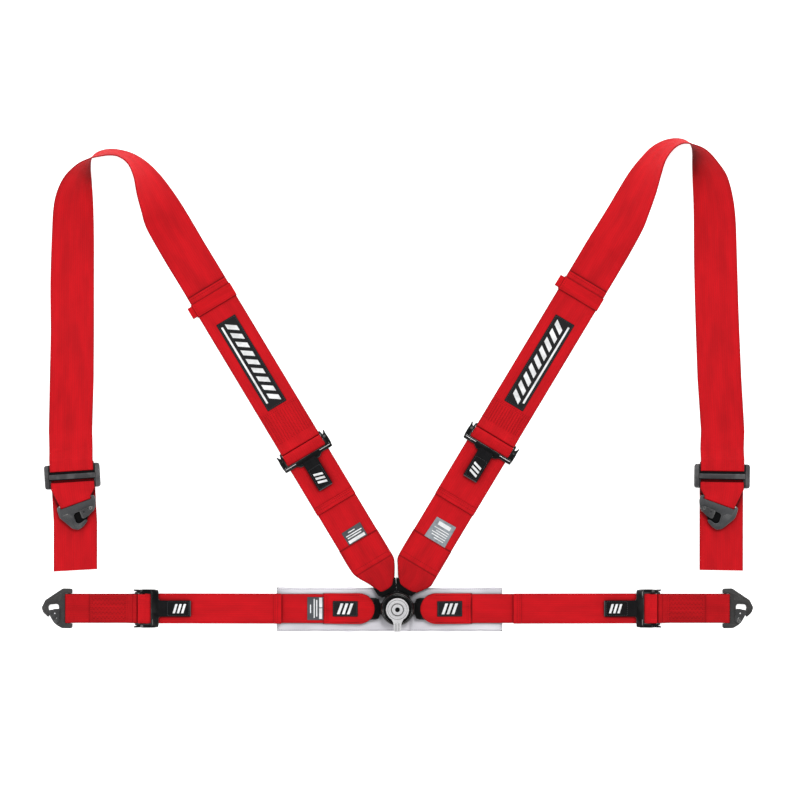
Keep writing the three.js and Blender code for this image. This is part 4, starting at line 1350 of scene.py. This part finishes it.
def shoulder_belt(side):
    """A shoulder belt from its cover over the arch to its hook."""
    name = side["name"]
    belt = f"shoulder_{name}"
    spec = {**SHOULDER, "lock": side["lock"]}
    matrix = belt_frame(side, "shoulder")
    sleeve, top, groove = cover(belt, matrix)
    seams = stitching(f"cover_stitches_{belt}", [
        ((groove, -33), (groove, 31)), ((135.5, -36), (135.5, 36)), ((96, -36), (96, 34)),
        ((97, 35), (134, 36)), ((97, -36), (134, -36)),
    ], top, THREAD, matrix)
    settle(tongue_body(belt), "belt_cover", seams)
    cloth(sleeve, 4 * 36, 96, ["buckle_pad"], [seams])
    lower_belt(belt, spec, matrix, side["tag"])
    adjuster(belt, spec, matrix)
    pull_tab(belt, spec, matrix)

    stations = upper_stations(side)
    length = sum((b[0] - a[0]).length for a, b in zip(stations, stations[1:]))
    strap = web(f"upper_belt_{name}", stations, RED, lanes=12)
    flat = level(LAYER_2 + 1)
    face = level(LAYER_2 + 1.7)
    label = patch(f"belt_label_{name}", oblong(411.5, -18.8, 586.5, 18.8), flat, 0.7, LABEL_BLACK,
                  matrix)
    line_y = -side["sign"] * 12.4
    bars = racing_bars(f"belt_bars_{name}", 420, 578, 8.6, 9, face, LABEL_WHITE,
                       matrix @ Matrix.Translation((0, side["sign"] * 3.4, 0)))
    line = patch(f"belt_line_{name}", oblong(424, line_y - 1.7, 578, line_y + 1.7), face, PRINT,
                 LABEL_WHITE, matrix, 0.5)
    border = stitching(f"label_stitches_{belt}", box_rows(413.5, -17, 584.5, 17), face, TAB_THREAD,
                       matrix)
    near, far = spec["lock"] + 17, 405
    rows = [((near + 2, y), (far, y)) for y in (-34, -29, 29, 34)]
    for y in range(-25, 26, 5):
        rows += zigzag(near + 3, far - 2, y, 2.2, 20)
    rows += [((x, -35), (x, 35)) for x in (near, far, far + 3)]
    seams = stitching(f"belt_stitches_{belt}", rows, flat, THREAD, matrix)
    end = side["keeper"] + KEEPER_LENGTH + FOLD_END - 4
    hem = stitching(f"fold_stitches_{belt}", [((end, -34), (end, 34))], flat, THREAD, matrix)
    on_strap = [label, bars, line, border, seams, hem]
    settle(f"{belt}_adjuster", "webbing", strap, *on_strap, stands_for=[f"upper_belt_{name}"])
    cloth(strap, 2 * SHOULDER["half"], length, ["floor"], on_strap)
    keeper(side, matrix)
    slide(side)
    snap_hook(belt, -side["sign"], SHOULDER_HOOK, hook_place(side), SHOULDER_GREY)


# ---- Pad -----------------------------------------------------------------------------------
PAD = {"half_length": 197, "half_width": 39, "shift": -14, "y": -2, "thick": 5, "edge": 2.2,
       "flat": 93, "crease": 36.1, "crease_depth": 2.6}


def pad():
    """Thin foam in satin: crowned faces, a rolled rim, soft pulls and one crease."""
    columns, rows = 120, 26
    verts = []
    across = PAD["half_width"]
    length = PAD["half_length"]

    def thickness(x):
        share = max(0, (abs(x) - PAD["flat"]) / (length - PAD["flat"]))
        return PAD["thick"] + (PAD["edge"] - PAD["thick"]) * share

    def point(i, j, face):
        u = 2 * i / columns - 1
        v = 2 * j / rows - 1
        x = u * (length - 1.2 * (1 - math.cos(v * 1.2)))
        pull = 0.7 * math.sin(x * 0.11) * math.sin(x * 0.043 + 1)
        y = v * (across - 0.9 + pull)
        rim = min(1.0, math.sqrt(max(0, 1 - abs(v) ** 9)) * math.sqrt(max(0, 1 - abs(u) ** 60)))
        deep = thickness(x) / 2
        ripple = 0.0
        if face > 0:
            furrow = PAD["crease_depth"] * math.exp(-((x - PAD["crease"]) / 1.5) ** 2)
            ripple -= furrow * (0.1 + 0.9 * (v < 0))
            ripple += 0.22 * math.sin(x * 0.16 + 2 * v) * (1 - v * v)
            ripple -= 0.25
        z = deep + face * deep * rim + ripple * rim
        return (x + PAD["shift"], y + PAD["y"], max(z, 0.05))

    for face in (1, -1):
        for i in range(columns + 1):
            for j in range(rows + 1):
                verts.append(point(i, j, face))
    size = (columns + 1) * (rows + 1)
    faces = []

    def index(i, j, face):
        return (0 if face > 0 else size) + i * (rows + 1) + j

    for face in (1, -1):
        for i in range(columns):
            for j in range(rows):
                faces.append((index(i, j, face), index(i + 1, j, face), index(i + 1, j + 1, face),
                              index(i, j + 1, face)))
    piece = make("buckle_pad", verts, faces, PAD_SATIN, sharp=80)
    weld(piece.data, 2e-5, bridge=True)
    rows = box_rows(PAD["shift"] - length + 4, PAD["y"] - across + 3.4, PAD["shift"] + length - 4,
                    PAD["y"] + across - 3.4)
    seams = stitching("pad_stitches", rows, lambda x, y: thickness(x - PAD["shift"]) - 0.45,
                      woven_label("pad_thread", rgb(176, 172, 180)))
    settle("buckle", "pad_satin", piece, seams, stands_for=["buckle_pad"])


# ---- Buckle --------------------------------------------------------------------------------
def tongue(belt, angle):
    """A tongue plate with its slot, and the black sheath round its neck."""
    outline = [(14, 6), (17, 7), (22, 9), (25, 10), (31, 10), (33.5, TONGUE_HALF - 3),
               (37, TONGUE_HALF), (TONGUE_END, TONGUE_HALF)]
    rim = [(x, -y) for x, y in outline] + outline[::-1]
    slot = oblong(TONGUE_END - 10, 5 - TONGUE_HALF, TONGUE_END - 5, TONGUE_HALF - 5)
    place = Matrix.Rotation(math.radians(angle), 4, "Z")
    body = plate(f"tongue_plate_{belt}", [fillet(rim, 2.0), fillet(slot, 1.5)], TONGUE_Z,
                 TONGUE_Z + TONGUE_THICK, 0.5, BLACK_STEEL, place)
    flank = [(29.8, 14.2), (38.2, 18.4), (50, 19.4)]
    facing = [(29.8, 14.2), (38.2, 18.5), (47.5, 23.0), (50, 22.9)]
    if belt.startswith("lap"):
        flank = facing = [(30.5, 10.5), (33, TONGUE_HALF - 1.5), (42, TONGUE_HALF - 1.2)]
    if angle > 90:
        flank, facing = facing, flank
    collar = [(x, -y) for x, y in flank] + facing[::-1]
    sheath = plate(f"tongue_sheath_{belt}", [fillet(collar, 1.2)], TONGUE_Z - 0.9,
                   TONGUE_Z + TONGUE_THICK + 1.4, 0.7, BUCKLE_BLACK, place)
    piece = merge(f"tongue_{belt}", [body, sheath])
    settle(tongue_body(belt), "black_steel", piece, stands_for=[f"tongue_{belt}"])


def buckle():
    """The rotary buckle: base, ringed housing with a slot for each tongue, lever and badge."""
    profile = [(0, 5.3), (27.4, 5.3), (28, 5.8), (28, 7.8), (27.4, 8.3), (0, 8.3)]
    base = lathe("buckle_base", profile, BLACK_STEEL)
    ring = lathe("buckle_housing", [
        (25, HOUSING_Z), (28.6, HOUSING_Z), (29, 9.1), (29, 15.5), (28.7, 16.2), (28.2, 16.5),
        (28.2, 17.1), (28.7, 17.4), (28.7, 20.2), (28.1, 22.2), (27.0, 23.4), (26.2, 23.4),
        (25.6, 22.9), (24.8, 22.9), (24.3, 23.6), (23, 24), (5.3, 24), (5.3, 20), (25, 20),
    ], BUCKLE_BLACK, sides=128)
    # Two thin grey rings at the rim of the housing's top: painted highlight lines.
    lines = [washer(f"housing_line_{k}", radius, radius + 0.35, z - 0.3, z + 0.12, GATE_GREY, 128)
             for k, (radius, z) in enumerate(((24.7, 23.0), (26.7, 23.4)))]
    carve(ring, [block(f"slot_{belt}", (15, -11, 7.6), (35, 11, TONGUE_Z + TONGUE_THICK + 0.5),
                       0.4, BUCKLE_BLACK, Matrix.Rotation(math.radians(angle), 4, "Z"))
                 for belt, angle in TONGUE_ANGLES.items()])
    ring = merge("buckle_housing", [ring, *lines])
    settle("buckle", "black_steel", base, stands_for=["buckle_base"])
    settle("buckle", "black_plastic", ring, stands_for=["buckle_housing"])

    half = 6.4
    flare = math.asin((half + 4.0) / LEVER_RADIUS)
    outline = []
    steps = 60
    for k in range(steps + 1):
        turn = -math.pi / 2 + flare + (math.tau - 2 * flare) * k / steps
        outline.append((LEVER_RADIUS * math.cos(turn), LEVER_RADIUS * math.sin(turn)))
    outline += [(-half - 0.9, -22.5), (-half, -27), (-half, -LEVER_REACH + 1.5),
                (-half + 1.5, -LEVER_REACH), (half - 1.5, -LEVER_REACH),
                (half, -LEVER_REACH + 1.5), (half, -27), (half + 0.9, -22.5)]
    lever = plate("lever_body", [outline], LEVER_Z, LEVER_TOP, 0.9, SILVER)
    floor = LEVER_TOP - 1.2
    recess = [(0, floor), (11.7, floor), (11.7, 34), (0, 34)]
    carve(lever, [lathe("recess", recess, SILVER, sides=72)])
    # Two thin grey lines beside the rib on the lever's tail: painted shade of grooves along the rib.
    groove_shades = [block(f"lever_groove_{k}", (x - 0.45, -LEVER_REACH + 1.6, LEVER_TOP - 0.3),
                     (x + 0.45, -23.5, LEVER_TOP + 0.15), 0.15, GATE_GREY)
               for k, x in enumerate((-2.6, 2.6))]
    rib = block("lever_rib", (-1.7, -LEVER_REACH + 1.8, LEVER_TOP - 0.5),
                (1.7, -22, LEVER_TOP + 0.6), 0.5, SILVER)
    ring_line = washer("lever_line", 16.6, 17.1, LEVER_TOP - 0.2, LEVER_TOP + 0.12, GATE_GREY, 96)
    piece = merge("release_lever", [lever, rib, *groove_shades, ring_line])
    badge = merge("lever_badge", [
        lathe("badge_disc", [(0, LEVER_TOP - 0.9), (11.4, LEVER_TOP - 0.9), (11.4, LEVER_TOP + 0.2),
                             (11.0, LEVER_TOP + 0.4), (0, LEVER_TOP + 0.4)], SILVER, sides=72),
        washer("badge_ring", 9.6, 10.9, LEVER_TOP + 0.3, LEVER_TOP + 0.55, PRINT_AND_SHADE_BLACK, 72),
        lathe("badge_dot", [(0, LEVER_TOP + 0.3), (4.2, LEVER_TOP + 0.3), (4.0, LEVER_TOP + 0.6),
                            (0, LEVER_TOP + 0.7)], PRINT_AND_SHADE_BLACK, sides=48),
    ])
    settle("lever", "silver_lever", piece, stands_for=["release_lever"])
    settle("lever", "silver_lever", badge, stands_for=["lever_badge"])
    for belt, angle in TONGUE_ANGLES.items():
        tongue(belt, angle)


def carried_over():
    """Better finishes for the CAD nodes that stay."""
    finishes = {"cam_rotor": BLACK_STEEL, "return_spring": SPRING}
    for name, material in finishes.items():
        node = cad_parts[name]
        node.data.materials.clear()
        node.data.materials.append(material)


pad()
buckle()
for one in SIDES:
    lap_belt(one)
    shoulder_belt(one)
carried_over()

bpy.context.view_layer.update()
